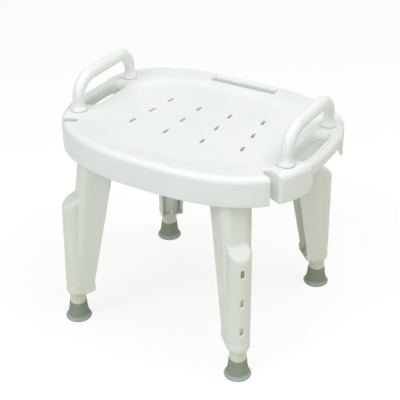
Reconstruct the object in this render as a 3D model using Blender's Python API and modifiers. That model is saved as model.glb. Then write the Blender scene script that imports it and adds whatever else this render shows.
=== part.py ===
"""Shower seat: a moulded seat with two grab handles on four legs that slide to set the height.

Metres, +Z up, +X to the right as seen from the front, +Y to the back.
The origin is on the floor under the middle of the seat, with the legs at their lowest setting.
"""

from math import atan2, cos, pi, radians, sin, sqrt, tan

import bmesh
import bpy
import numpy as np
from mathutils import Matrix, Vector

# Fits between pieces: the gap left between neighbours and a tube's play in its bore
GAP = 0.0003
TUBE_PLAY = 0.0005

# How far cutters run past a face, and how the curved faces are divided
THROUGH = 0.01
FLAT_ANGLE = 0.5
CORNER_STEPS = 4
TUBE_SIDES = 24
HOLE_SIDES = 12

# Seat: outline and rim. The outline's squareness is given for its front and its rear
SEAT_TOP = 0.4062
SEAT_HALF_WIDTH = 0.2575
SEAT_HALF_DEPTH = 0.198
SEAT_SQUARENESS = (2.6, 2.9)
SKIRT_DEPTH = 0.0552
SHELL_WALL = 0.003
RIM_ROUND_FRONT = 0.012
RIM_ROUND_REAR = 0.005
RIM_BLEND = (0.10, 0.35)
SHARPEST_ROUND = 0.0005
RING_SIDES = 72
SAME_POINT = 0.00001

# Seat: dished pan. Each ring is how far it stays inside the outline at the sides, the front and
# the rear, its squareness, and its drop below the rim at the front, the sides and the rear
PAN_SAG = 0.0005
PAN_FLOOR = (0.0795, 0.050, 0.087, 2.3, 0.0100, 0.0100, 0.0100)
PAN_EDGE = (0.0765, 0.047, 0.084, 2.3, 0.0092, 0.0092, 0.0092)
SLOPE_FOOT = (0.0675, 0.035, 0.060, 2.75, 0.0060, 0.0060, 0.0082)
SLOPE_HEAD = (0.0525, 0.020, 0.040, 2.90, 0.0020, 0.0020, 0.0)

# Seat: drain slots on three arcs about a point behind the seat
DRAIN_CENTRE_Y = 0.7725
DRAIN_RADII = (0.832, 0.776, 0.720)
DRAIN_ANGLES = (2.64, 7.98)
DRAIN_LENGTH = 0.019
DRAIN_WIDTH = 0.005

# Seat: rear hand slot. Its margins are how far its sides lie inside the seat's rear edge
HAND_SLOT_HALF = 0.066
HAND_SLOT_SLANT = 0.005
HAND_SLOT_FRONT_MARGIN = 0.036
HAND_SLOT_REAR_MARGIN = 0.013
HAND_SLOT_FRONT = SEAT_HALF_DEPTH - HAND_SLOT_FRONT_MARGIN
HAND_SLOT_REAR = SEAT_HALF_DEPTH - HAND_SLOT_REAR_MARGIN
HAND_SLOT_COLLAR = 0.022

# Seat: side grip openings, each with an inner wall and a rail along the outside. Margins are
# measured inwards from the seat's side, its front and its rear
OPENING_INNER_MARGIN = 0.0505
OPENING_FRONT_MARGIN = 0.145
OPENING_REAR_MARGIN = 0.134
OPENING_INNER = SEAT_HALF_WIDTH - OPENING_INNER_MARGIN
OPENING_FRONT = OPENING_FRONT_MARGIN - SEAT_HALF_DEPTH
OPENING_REAR = SEAT_HALF_DEPTH - OPENING_REAR_MARGIN
OPENING_CORNER = 0.020
OPENING_ROUND = 0.0165
OPENING_END_FLARE = 0.4
OPENING_LEDGE = 0.022
OPENING_LEDGE_WIDTH = 0.002
OPENING_HEEL_ROUND = 0.020
OPENING_WEDGE_DROP = 0.0282
WEDGE_HIGH_MARGIN = 0.128
WEDGE_LOW_MARGIN = 0.105
OPENING_WEDGE_HIGH = SEAT_HALF_DEPTH - WEDGE_HIGH_MARGIN
OPENING_WEDGE_LOW = SEAT_HALF_DEPTH - WEDGE_LOW_MARGIN
RELIEF_INNER_MARGIN = 0.0315
RELIEF_OUTER_MARGIN = 0.015
RELIEF_INNER = SEAT_HALF_WIDTH - RELIEF_INNER_MARGIN
RELIEF_OUTER = SEAT_HALF_WIDTH - RELIEF_OUTER_MARGIN
RELIEF_DEPTH = 0.008

# Rail: how far its outer side stays inside the outline, how far its inner edge lies inside the
# seat's side, and its depths below the rim, each in the middle and at the ends
RAIL_INSET = (0.0019, 0.0006)
RAIL_INNER_MARGIN = (0.0229, 0.0465)
RAIL_TOP_DROP = (0.0075, 0.0002)
RAIL_BOTTOM_DROP = (0.0285, 0.0300)
RAIL_STATIONS = 13
RAIL_SIDES = 14

# Seat: hose notches at the front corners. The tip's margins are measured from the seat's side
# and its front, and the mouth is rounded at its rear and its front side
NOTCH_TIP_MARGINS = (0.0645, 0.082)
NOTCH_TIP = (SEAT_HALF_WIDTH - NOTCH_TIP_MARGINS[0], NOTCH_TIP_MARGINS[1] - SEAT_HALF_DEPTH)
NOTCH_ANGLE = -26.0
NOTCH_WIDTH = 0.016
NOTCH_ROUND = 0.005
NOTCH_MOUTH_ROUNDS = (0.0055, 0.003)
NOTCH_SEARCH = 0.0002

# Seat: ribs under the pan
RIB_THICKNESS = 0.0025
RIB_DEPTH = 0.016
RIB_ROWS = (-0.029, 0.028)
RIB_COLUMNS = (-0.075, 0.0, 0.075)

# Handles. Margins are measured inwards from the seat's side, its front and its rear
HANDLE_SIDE_MARGIN = 0.042
HANDLE_FRONT_MARGIN = 0.116
HANDLE_REAR_MARGIN = 0.106
HANDLE_X = SEAT_HALF_WIDTH - HANDLE_SIDE_MARGIN
HANDLE_FRONT = HANDLE_FRONT_MARGIN - SEAT_HALF_DEPTH
HANDLE_REAR = SEAT_HALF_DEPTH - HANDLE_REAR_MARGIN
HANDLE_HEIGHT = 0.059
HANDLE_POST_RADIUS = 0.0098
HANDLE_GRIP_RADIUS = 0.0120
HANDLE_SIDES = 12
HANDLE_BEND = 0.041
HANDLE_BEND_STEPS = 5
FLANGE_RADIUS = 0.0156
FLANGE_HEIGHT = 0.013
FLANGE_LIP = 0.0025
FLANGE_NECK_STEP = 0.0006
FLANGE_SIDES = 18
HANDLE_PAD_RADIUS = 0.0156
HANDLE_PAD_RISE = 0.0004
HANDLE_PAD_DEPTH = 0.009
SPIGOT_RADIUS = 0.008
SPIGOT_LENGTH = 0.0215
SOCKET_WALL = 0.0047
SOCKET_FLOOR = 0.004
SOCKET_DEPTH = 0.022

# Screws: shank radius, head radius, head height
SCREW_TIP_SHARE = 0.6
SCREW_CROWN_SHARE = 0.7
SCREW_SIDES = 10
HANDLE_SCREW = (0.0022, 0.0045, 0.0030)
HANDLE_SCREW_GRIP = 0.013
LEG_SCREW = (0.0018, 0.0040, 0.0025)
LEG_SCREW_GRIP = 0.006
LEG_SCREW_DEPTHS = (0.034, 0.056)

# Legs: how far inside the seat's side and front they stand, and how far they lean in along X
# and along Y for each metre of height
FOOT_SIDE_MARGIN = 0.0785
FOOT_END_MARGIN = 0.0255
FOOT_X = SEAT_HALF_WIDTH - FOOT_SIDE_MARGIN
FOOT_Y = SEAT_HALF_DEPTH - FOOT_END_MARGIN
LEAN_EACH_WAY = 0.012
LEG_LEAN = LEAN_EACH_WAY * sqrt(2.0)
LEG_BOTTOM = 0.058
LEG_TOP_DROP = 0.0162
LEG_TOP = SEAT_TOP - LEG_TOP_DROP
LEG_WALL = 0.003

# Leg channel: depths are measured inwards from the leg's axis, for the bottom and the top
NOSE_DEPTH = (-0.0196, 0.0195)
NOSE_HALF = (0.0213, 0.0270)
NOSE_CORNER = (0.0190, 0.0140)
FLANGE_END_DEPTH = (0.0288, 0.0755)
FLANGE_END_HALF = (0.0237, 0.0341)
FLANGE_BOTTOM_RISE = 0.0155
FLANGE_HEEL_DEPTH = 0.010
FLANGE_TOE = 0.003
FLANGE_LIP_START = 0.300
FLANGE_LIP_LENGTH = 0.009
FLANGE_LIP_FLARE = 0.0025
LEG_TOP_ROUND = 0.012

# Leg column, with the row of height holes
COLUMN_RADIUS = 0.0215
COLUMN_SIDES = 24
COLUMN_CHAMFER = 0.004
COLUMN_CHAMFER_HEIGHT = 0.014
NOSE_CHAMFER_HEIGHT = 0.0125
SHOULDER_TOP = 0.2705
SHOULDER_SLOPE = 31.0
SHOULDER_ROUND = 0.009
BORE_TOP = 0.2520
HEEL_RIB_HEIGHT = 0.028
HEEL_RIB_HALF = (0.0075, 0.0022)
HEEL_RIB_TIP_HALF = (0.0045, 0.0015)
HEEL_RIB_DEPTH = (0.005, 0.0005)

# Height setting
HOLE_TOP = 0.227
HOLE_PITCH = 0.061
HOLE_COUNT = 3
HOLE_WIDTH = 0.005
HOLE_LENGTH = 0.014
HOLE_SINK = 0.0012

# Extension tube
TUBE_RADIUS = 0.016
TUBE_WALL = 0.003
TUBE_TOP_CLEARANCE = 0.002
TUBE_BOTTOM = 0.010

# Snap button clip
BUTTON_RECESS = 0.0015
BUTTON_TRAVEL = 0.0045
CLIP_STRIP = 0.0012
CLIP_WIDTH = 0.007
CLIP_ABOVE = 0.010
CLIP_BELOW = 0.030
CLIP_BEND_RADIUS = 0.0030
CLIP_FAR_ROOM = 0.0006

# Rubber foot
FOOT_HEIGHT = 0.038
FOOT_COLLAR = 0.004
FOOT_TOP_RADIUS = 0.0178
FOOT_FLARE = 1.8
FOOT_WAIST_HEIGHT = 0.0135
FOOT_WAIST_RADIUS = 0.0232
FOOT_RING_RADIUS = 0.0250
FOOT_RING_HEIGHT = 0.0100
FOOT_BASE_RADIUS = 0.0232
FOOT_TREAD = ((0.0185, 0.0), (0.0175, 0.0012), (0.0120, 0.0012), (0.0110, 0.0))

# Colour, roughness and metallic value of each finish
FINISHES = {
    "seat_plastic": ((0.86, 0.87, 0.85), 0.42, 0.0),
    "handle_plastic": ((0.88, 0.88, 0.87), 0.35, 0.0),
    "leg_plastic": ((0.82, 0.83, 0.80), 0.45, 0.0),
    "tube_plastic": ((0.78, 0.79, 0.76), 0.40, 0.0),
    "clip_steel": ((0.55, 0.56, 0.56), 0.35, 1.0),
    "foot_rubber": ((0.33, 0.35, 0.33), 0.70, 0.0),
    "screw_steel": ((0.62, 0.62, 0.62), 0.30, 1.0),
}

CORNERS = (
    ("front_right", 1, -1),
    ("back_right", 1, 1),
    ("back_left", -1, 1),
    ("front_left", -1, -1),
)


def clear_scene():
    for item in list(bpy.data.objects):
        bpy.data.objects.remove(item, do_unlink=True)


def new_collection(name):
    collection = bpy.data.collections.new(name)
    bpy.context.scene.collection.children.link(collection)
    return collection


def new_material(name):
    colour, roughness, metallic = FINISHES[name]
    material = bpy.data.materials.new(name)
    material.use_nodes = True
    shader = material.node_tree.nodes["Principled BSDF"]
    shader.inputs["Base Color"].default_value = (*colour, 1.0)
    shader.inputs["Roughness"].default_value = roughness
    shader.inputs["Metallic"].default_value = metallic
    return material


clear_scene()
PARTS = new_collection("shower_seat")
CUTTERS = new_collection("shower_seat_cutters")
MATERIALS = {name: new_material(name) for name in FINISHES}


def add_part(name, mesh, finish):
    """Put a finished sub-part in the object's collection."""
    part = bpy.data.objects.new(name, mesh)
    mesh.materials.clear()
    mesh.materials.append(MATERIALS[finish])
    PARTS.objects.link(part)
    return part


def add_tool(name, mesh):
    """Put a shape that cuts or joins others in the cutters' collection."""
    tool = bpy.data.objects.new(name, mesh)
    tool.hide_render = True
    tool.display_type = "WIRE"
    CUTTERS.objects.link(tool)
    return tool


def combine(target, tool, operation):
    """Cut or join a tool and the target with an exact Boolean."""
    modifier = target.modifiers.new(f"{operation.lower()} {tool.name}", "BOOLEAN")
    modifier.operation = operation
    modifier.solver = "EXACT"
    modifier.object = tool


def mirror_across(item):
    """Repeat a side's shape on the other side of the seat."""
    modifier = item.modifiers.new("other side", "MIRROR")
    modifier.merge_threshold = SAME_POINT


def finished_mesh(item):
    """Take an object's mesh with its modifiers applied, and remove the object."""
    bpy.context.view_layer.update()
    evaluated = item.evaluated_get(bpy.context.evaluated_depsgraph_get())
    mesh = bpy.data.meshes.new_from_object(evaluated)
    mesh.name = item.name
    bpy.data.objects.remove(item, do_unlink=True)
    return mesh


def merge_close_points(mesh):
    """Merge the points that a Boolean leaves on top of each other, so that the next one holds."""
    work = bmesh.new()
    work.from_mesh(mesh)
    bmesh.ops.remove_doubles(work, verts=work.verts, dist=SAME_POINT)
    bmesh.ops.dissolve_degenerate(work, edges=work.edges, dist=SAME_POINT)
    work.to_mesh(mesh)
    work.free()


def merge_flat_faces(mesh):
    """Join the flat fragments that Booleans leave, without moving a point."""
    work = bmesh.new()
    work.from_mesh(mesh)
    bmesh.ops.dissolve_limit(
        work, angle_limit=radians(FLAT_ANGLE), verts=work.verts, edges=work.edges)
    bmesh.ops.triangulate(work, faces=work.faces)
    work.to_mesh(mesh)
    work.free()


def shade_round(mesh, angle=35.0):
    mesh.shade_smooth()
    mesh.set_sharp_from_angle(angle=radians(angle))


def loft(name, rings, start_pole=None, end_pole=None):
    """Skin a closed solid over rings of equal count, closed by flat ends or by poles."""
    count = len(rings[0])
    work = bmesh.new()
    loops = [[work.verts.new(point) for point in ring] for ring in rings]
    sides = []
    for lower, upper in zip(loops, loops[1:]):
        for k in range(count):
            after = (k + 1) % count
            sides.append(work.faces.new((lower[k], lower[after], upper[after], upper[k])))
    bmesh.ops.triangulate(work, faces=sides)
    for loop, pole in ((loops[0], start_pole), (loops[-1], end_pole)):
        if pole is None:
            work.faces.new(loop)
        else:
            tip = work.verts.new(pole)
            for k in range(count):
                work.faces.new((loop[k], loop[(k + 1) % count], tip))
    bmesh.ops.recalc_face_normals(work, faces=work.faces)
    mesh = bpy.data.meshes.new(name)
    work.to_mesh(mesh)
    work.free()
    return mesh


def box(name, low, high):
    low, high = Vector(low), Vector(high)
    work = bmesh.new()
    placing = Matrix.Translation((low + high) / 2.0) @ Matrix.Diagonal((*(high - low), 1.0))
    bmesh.ops.create_cube(work, size=1.0, matrix=placing)
    mesh = bpy.data.meshes.new(name)
    work.to_mesh(mesh)
    work.free()
    return mesh


def cylinder(name, radius, low, high, centre=(0.0, 0.0), sides=TUBE_SIDES):
    work = bmesh.new()
    placing = Matrix.Translation((centre[0], centre[1], (low + high) / 2.0))
    bmesh.ops.create_cone(
        work, cap_ends=True, segments=sides, radius1=radius, radius2=radius,
        depth=high - low, matrix=placing)
    mesh = bpy.data.meshes.new(name)
    work.to_mesh(mesh)
    work.free()
    return mesh


def join_meshes(name, meshes):
    """Gather meshes that don't touch into one."""
    work = bmesh.new()
    for mesh in meshes:
        work.from_mesh(mesh)
        bpy.data.meshes.remove(mesh)
    gathered = bpy.data.meshes.new(name)
    work.to_mesh(gathered)
    work.free()
    return gathered


def turned(name, profile, steps):
    """Turn a profile about Z. It runs out along the inside or top and down its outer side."""
    mesh = bpy.data.meshes.new(name)
    points = [(radius, 0.0, height) for radius, height in profile]
    edges = [(k, k + 1) for k in range(len(points) - 1)]
    mesh.from_pydata(points, edges, [])
    item = add_tool(name, mesh)
    screw = item.modifiers.new("turn", "SCREW")
    screw.steps = steps
    screw.render_steps = steps
    screw.use_merge_vertices = True
    screw.merge_threshold = SAME_POINT
    return finished_mesh(item)


def round_bar(name, points, radii, sides):
    """Run a round bar along points with a curve, and make it a closed mesh."""
    curve = bpy.data.curves.new(name, "CURVE")
    curve.dimensions = "3D"
    curve.bevel_depth = 1.0
    curve.bevel_resolution = (sides - 4) // 2
    curve.use_fill_caps = True
    spline = curve.splines.new("POLY")
    spline.points.add(len(points) - 1)
    for point, place, radius in zip(spline.points, points, radii):
        point.co = (*place, 1.0)
        point.radius = radius
    item = bpy.data.objects.new(name, curve)
    CUTTERS.objects.link(item)
    mesh = finished_mesh(item)
    work = bmesh.new()
    work.from_mesh(mesh)
    bmesh.ops.remove_doubles(work, verts=work.verts, dist=SAME_POINT)
    work.to_mesh(mesh)
    work.free()
    bpy.data.curves.remove(curve)
    return mesh


def smooth_step(value):
    value = np.clip(value, 0.0, 1.0)
    return value * value * (3.0 - 2.0 * value)


# Angles round the seat, from its right side towards the rear
TURNS = np.arange(RING_SIDES) * 2.0 * pi / RING_SIDES
TO_REAR = smooth_step((np.sin(TURNS) - RIM_BLEND[0]) / RIM_BLEND[1])
TO_FRONT = smooth_step((-np.sin(TURNS) - RIM_BLEND[0]) / RIM_BLEND[1])


def signed_power(values, power):
    return np.sign(values) * np.abs(values) ** power


def pan_ring(spec, lower=0.0):
    """One ring of the dished top, from its margins to the outline, squareness and drops."""
    side_margin, front_margin, rear_margin, squareness, front_drop, side_drop, rear_drop = spec
    half_width = SEAT_HALF_WIDTH - side_margin
    front = SEAT_HALF_DEPTH - front_margin
    rear = SEAT_HALF_DEPTH - rear_margin
    power = 2.0 / squareness
    x = half_width * signed_power(np.cos(TURNS), power)
    y = (rear - front) / 2.0 + (rear + front) / 2.0 * signed_power(np.sin(TURNS), power)
    drop = side_drop + (front_drop - side_drop) * TO_FRONT + (rear_drop - side_drop) * TO_REAR
    return np.stack([x, y, SEAT_TOP - drop - lower], axis=1)


def outline_ring(inset, height):
    """The seat's outline, moved inwards square to itself, at one height."""
    power = 2.0 / np.where(np.sin(TURNS) > 0.0, SEAT_SQUARENESS[1], SEAT_SQUARENESS[0])
    x = SEAT_HALF_WIDTH * signed_power(np.cos(TURNS), power)
    y = SEAT_HALF_DEPTH * signed_power(np.sin(TURNS), power)
    normal_x = signed_power(np.cos(TURNS), 2.0 - power) / SEAT_HALF_WIDTH
    normal_y = signed_power(np.sin(TURNS), 2.0 - power) / SEAT_HALF_DEPTH
    length = np.hypot(normal_x, normal_y)
    height = np.broadcast_to(height, x.shape)
    return np.stack([x - inset * normal_x / length, y - inset * normal_y / length, height], axis=1)


def outline_x(y):
    """Half the seat's width at a distance from its middle."""
    squareness = SEAT_SQUARENESS[1] if y > 0.0 else SEAT_SQUARENESS[0]
    share = 1.0 - abs(y / SEAT_HALF_DEPTH) ** squareness
    return SEAT_HALF_WIDTH * max(share, 0.0) ** (1.0 / squareness)


def seat_body(name, offset, arc_steps):
    """The seat's outer form, or with an offset the form of the hollow under it."""
    rim_round = RIM_ROUND_FRONT + (RIM_ROUND_REAR - RIM_ROUND_FRONT) * TO_REAR
    inner_round = np.maximum(rim_round - offset, SHARPEST_ROUND)
    specs = (PAN_FLOOR, PAN_EDGE, SLOPE_FOOT, SLOPE_HEAD)
    rings = [pan_ring(spec, offset) for spec in specs]
    for step in range(arc_steps + 1):
        turn = step / arc_steps * pi / 2.0
        inset = offset + inner_round * (1.0 - sin(turn))
        height = SEAT_TOP - offset - inner_round * (1.0 - cos(turn))
        rings.append(outline_ring(inset, height))
    bottom = SEAT_TOP - SKIRT_DEPTH - (THROUGH if offset else 0.0)
    rings.append(outline_ring(offset, bottom))
    middle = (PAN_FLOOR[1] - PAN_FLOOR[2]) / 2.0
    pole = (0.0, middle, SEAT_TOP - PAN_FLOOR[4] - PAN_SAG - offset)
    return loft(name, rings, start_pole=pole)


def opening_ring(height, grow, inner_step=0.0, end_grow=0.0):
    """A side opening's outline at one height: square outside, with round inner corners."""
    bottom = SEAT_TOP - SKIRT_DEPTH
    above = max(height - bottom, 0.0)
    heel = max(OPENING_HEEL_ROUND - above, 0.0)
    heel_growth = OPENING_HEEL_ROUND - sqrt(OPENING_HEEL_ROUND ** 2 - heel ** 2)
    front = OPENING_FRONT - heel_growth - grow + end_grow
    wedge_top = SEAT_TOP - OPENING_WEDGE_DROP
    if height < wedge_top:
        share = above / (wedge_top - bottom)
        rear = OPENING_WEDGE_LOW + (OPENING_WEDGE_HIGH - OPENING_WEDGE_LOW) * share
    else:
        share = min((height - wedge_top) / (OPENING_WEDGE_DROP - OPENING_ROUND), 1.0)
        rear = OPENING_WEDGE_HIGH + (OPENING_REAR - OPENING_WEDGE_HIGH) * share
    rear += grow
    inner = OPENING_INNER + inner_step - grow
    outer = SEAT_HALF_WIDTH + THROUGH
    corner = OPENING_CORNER + grow
    arc = [step / CORNER_STEPS * pi / 2.0 for step in range(CORNER_STEPS + 1)]
    points = [(outer, front)]
    points += [(inner + corner * (1.0 - sin(turn)), front + corner * (1.0 - cos(turn))) for turn in arc]
    points += [(inner + corner * (1.0 - cos(turn)), rear - corner * (1.0 - sin(turn))) for turn in arc]
    points.append((outer, rear))
    return [(x, y, height) for x, y in points]


def opening_tool(name, grow):
    """What a side opening takes out of the seat, with its rounded top edge and inner ledge."""
    bottom = SEAT_TOP - SKIRT_DEPTH
    ledge = SEAT_TOP - OPENING_LEDGE
    low_heights = [bottom - 2.0 * THROUGH, bottom, bottom + OPENING_HEEL_ROUND * 0.2]
    low_heights += [bottom + OPENING_HEEL_ROUND * 0.5, bottom + OPENING_HEEL_ROUND]
    low_heights += [SEAT_TOP - OPENING_WEDGE_DROP, ledge]
    rings = [opening_ring(height, grow, OPENING_LEDGE_WIDTH) for height in low_heights]
    rings.append(opening_ring(ledge + OPENING_LEDGE_WIDTH / 2.0, grow))
    for step in range(5):
        turn = step / 4.0 * radians(80.0)
        height = SEAT_TOP - OPENING_ROUND * (1.0 - sin(turn))
        flare = OPENING_ROUND * (1.0 - cos(turn))
        rings.append(opening_ring(height, grow + flare, end_grow=flare * (1.0 - OPENING_END_FLARE)))
    rings.append([(x, y, SEAT_TOP + THROUGH) for x, y, _ in rings[-1]])
    return loft(name, rings)


def notch_mouth():
    """How far the seat's edge lies from the notch's inner end, and how far it slants there."""
    turn = radians(NOTCH_ANGLE)
    reach = 0.0
    while NOTCH_TIP[0] + reach * cos(turn) < outline_x(NOTCH_TIP[1] + reach * sin(turn)):
        reach += NOTCH_SEARCH
    y = NOTCH_TIP[1] + reach * sin(turn)
    widening = outline_x(y + NOTCH_SEARCH) - outline_x(y - NOTCH_SEARCH)
    return reach, turn + atan2(widening, 2.0 * NOTCH_SEARCH)


def notch_ring(height, grow, reach, slant):
    """A hose notch's outline: a round inner end, straight sides and a rounded mouth."""
    half = NOTCH_WIDTH / 2.0
    arc = [step / CORNER_STEPS for step in range(CORNER_STEPS + 1)]
    sides = []
    for side, full_round in zip((1.0, -1.0), NOTCH_MOUTH_ROUNDS):
        mouth = max(full_round - grow, SHARPEST_ROUND)
        across = half + full_round
        along = reach + side * across * tan(slant) - full_round / cos(slant)
        turns = [share * (pi / 2.0 - side * slant) for share in arc]
        points = [(along + mouth * sin(turn), across - mouth * cos(turn)) for turn in turns]
        points.append((points[-1][0] + 3.0 * THROUGH, points[-1][1]))
        sides.append([(along, side * across) for along, across in points])
    end = [(half - (half + grow) * cos(share * pi), -(half + grow) * sin(share * pi))
           for share in np.linspace(-0.5, 0.5, 2 * CORNER_STEPS + 1)]
    outline = [*reversed(sides[0]), *end, *sides[1]]
    turn = Matrix.Rotation(radians(NOTCH_ANGLE), 4, "Z")
    place = Matrix.Translation((*NOTCH_TIP, 0.0)) @ turn
    return [place @ Vector((along, across, height)) for along, across in outline]


def notch_tool(name, grow):
    """What a hose notch takes out of the seat, with its rounded top edge."""
    mouth = notch_mouth()
    rings = [notch_ring(SEAT_TOP - SKIRT_DEPTH - 2.0 * THROUGH, grow, *mouth)]
    for step in range(4):
        turn = step / 3.0 * radians(75.0)
        height = SEAT_TOP - NOTCH_ROUND * (1.0 - sin(turn))
        rings.append(notch_ring(height, grow + NOTCH_ROUND * (1.0 - cos(turn)), *mouth))
    rings.append([(*point[:2], SEAT_TOP + THROUGH) for point in rings[-1]])
    return loft(name, rings)


def hand_slot_tool(name, grow, low):
    """The rear hand slot: its ends slant, and a grown copy leaves its collar standing."""
    corners = (
        (-HAND_SLOT_HALF - HAND_SLOT_SLANT - grow, HAND_SLOT_FRONT - grow),
        (HAND_SLOT_HALF + HAND_SLOT_SLANT + grow, HAND_SLOT_FRONT - grow),
        (HAND_SLOT_HALF + grow, HAND_SLOT_REAR + grow),
        (-HAND_SLOT_HALF - grow, HAND_SLOT_REAR + grow),
    )
    return loft(name, [[(x, y, z) for x, y in corners] for z in (low, SEAT_TOP + THROUGH)])


def obround(name, width, length, low, high):
    """A slot with round ends: a cylinder whose halves are drawn apart along Y."""
    mesh = cylinder(name, width / 2.0, low, high, sides=HOLE_SIDES)
    for vertex in mesh.vertices:
        vertex.co.y += (length - width) / 2.0 * (1.0 if vertex.co.y > 0.0 else -1.0)
    return mesh


def drain_tool(name):
    low = SEAT_TOP - PAN_FLOOR[4] - PAN_SAG - SHELL_WALL - THROUGH
    slots = []
    for radius in DRAIN_RADII:
        for angle in DRAIN_ANGLES:
            for side in (-1, 1):
                turn = radians(angle * side)
                slot = obround(name, DRAIN_WIDTH, DRAIN_LENGTH, low, SEAT_TOP)
                place = Matrix.Translation((0.0, DRAIN_CENTRE_Y, 0.0)) @ Matrix.Rotation(turn, 4, "Z")
                slot.transform(place @ Matrix.Translation((0.0, -radius, 0.0)))
                slots.append(slot)
    return join_meshes(name, slots)


def leg_frame(side_x, side_y):
    """Where a leg stands: X points outwards along its diagonal."""
    turn = Matrix.Rotation(atan2(side_y, side_x), 4, "Z")
    return Matrix.Translation((side_x * FOOT_X, side_y * FOOT_Y, 0.0)) @ turn


def lean(mesh):
    """Lean an upright leg piece in by a shear, which keeps its level faces level."""
    shear = Matrix.Identity(4)
    shear[0][2] = -LEG_LEAN
    mesh.transform(shear)
    return mesh


def at_height(pair, height):
    """A channel size at a height, on the straight line between its bottom and top values."""
    share = (height - LEG_BOTTOM) / (LEG_TOP - LEG_BOTTOM)
    return pair[0] + (pair[1] - pair[0]) * share


def channel_ring(height, inset=0.0, nose_inset=0.0, past_end=0.0, level=True):
    """The leg channel's outline at one height, with X outwards and the open side inwards."""
    nose = at_height(NOSE_DEPTH, height) + inset + nose_inset
    nose_half = at_height(NOSE_HALF, height) - inset - nose_inset
    corner = max(at_height(NOSE_CORNER, height) - inset - nose_inset, 0.002)
    end = at_height(FLANGE_END_DEPTH, height)
    end_half = at_height(FLANGE_END_HALF, height) - inset
    lip_share = max(height - FLANGE_LIP_START, 0.0) / (LEG_TOP - FLANGE_LIP_START)
    lip = end - FLANGE_LIP_LENGTH
    heel = max(FLANGE_HEEL_DEPTH, nose + corner + 0.001)
    slope = (end_half - nose_half) / (end - nose - corner)
    side = []
    for step in range(5):
        turn = step / 4.0 * pi / 2.0
        side.append((nose + corner - corner * cos(turn), nose_half - corner + corner * sin(turn)))
    side.append((heel, nose_half + slope * (heel - nose - corner)))
    side.append((lip, nose_half + slope * (lip - nose - corner)))
    side.append((end + past_end, end_half + slope * past_end + FLANGE_LIP_FLARE * lip_share))
    outline = side + [(depth, -half) for depth, half in reversed(side)]
    rise = FLANGE_BOTTOM_RISE / (end - heel)
    return [
        (-depth, half, height + (0.0 if level else max(depth - heel, 0.0) * rise))
        for depth, half in outline
    ]


def channel_body(name, inset, past_end):
    """The leg channel's outer form, or with an inset the form of its hollow."""
    if inset:
        rings = [channel_ring(LEG_BOTTOM - THROUGH, inset, past_end=past_end)]
    else:
        rings = [
            channel_ring(LEG_BOTTOM, inset, COLUMN_CHAMFER, past_end=FLANGE_TOE, level=False),
            channel_ring(LEG_BOTTOM + NOSE_CHAMFER_HEIGHT, inset, level=False),
        ]
    rings.append(channel_ring(FLANGE_LIP_START, inset, past_end=past_end))
    top_round = LEG_TOP_ROUND - inset
    for step in range(5):
        turn = step / 4.0 * pi / 2.0
        height = LEG_TOP - LEG_TOP_ROUND + top_round * sin(turn)
        shrink = inset + top_round * (1.0 - cos(turn))
        rings.append(channel_ring(height, shrink, past_end=past_end))
    return loft(name, rings)


def column_body(name):
    """The round column: chamfered below, with a slanted shoulder rounded into its side."""
    turns = np.arange(COLUMN_SIDES) * 2.0 * pi / COLUMN_SIDES
    slope = tan(radians(SHOULDER_SLOPE))
    meets = at_height(NOSE_DEPTH, SHOULDER_TOP)

    def ring(radius, height):
        return np.stack([radius * np.cos(turns), radius * np.sin(turns), 0.0 * turns + height], axis=1)

    rings = [
        ring(COLUMN_RADIUS - COLUMN_CHAMFER, LEG_BOTTOM),
        ring(COLUMN_RADIUS, LEG_BOTTOM + COLUMN_CHAMFER_HEIGHT),
    ]
    for step in range(5):
        turn = step / 4.0 * pi / 2.0
        loop = ring(COLUMN_RADIUS - SHOULDER_ROUND * (1.0 - cos(turn)), SHOULDER_TOP)
        loop[:, 2] -= slope * (loop[:, 0] + meets) + SHOULDER_ROUND * (1.0 - sin(turn))
        rings.append(loop)
    return loft(name, rings)


def height_hole(name, centre, grow, deep, sink):
    """One height hole, cut inwards through the column's outer wall, with a sunk rim."""
    half_width = HOLE_WIDTH / 2.0 + grow
    half_run = (HOLE_LENGTH - HOLE_WIDTH) / 2.0

    def ring(depth, extra):
        radius = half_width + extra
        points = []
        for step in range(HOLE_SIDES):
            turn = (step + 0.5) / HOLE_SIDES * 2.0 * pi
            up = half_run if sin(turn) > 0.0 else -half_run
            points.append((depth, radius * cos(turn), centre + up + radius * sin(turn)))
        return points

    rings = [ring(deep, 0.0), ring(COLUMN_RADIUS - sink, 0.0), ring(COLUMN_RADIUS + sink, 2.0 * sink)]
    return loft(name, rings)


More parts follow.
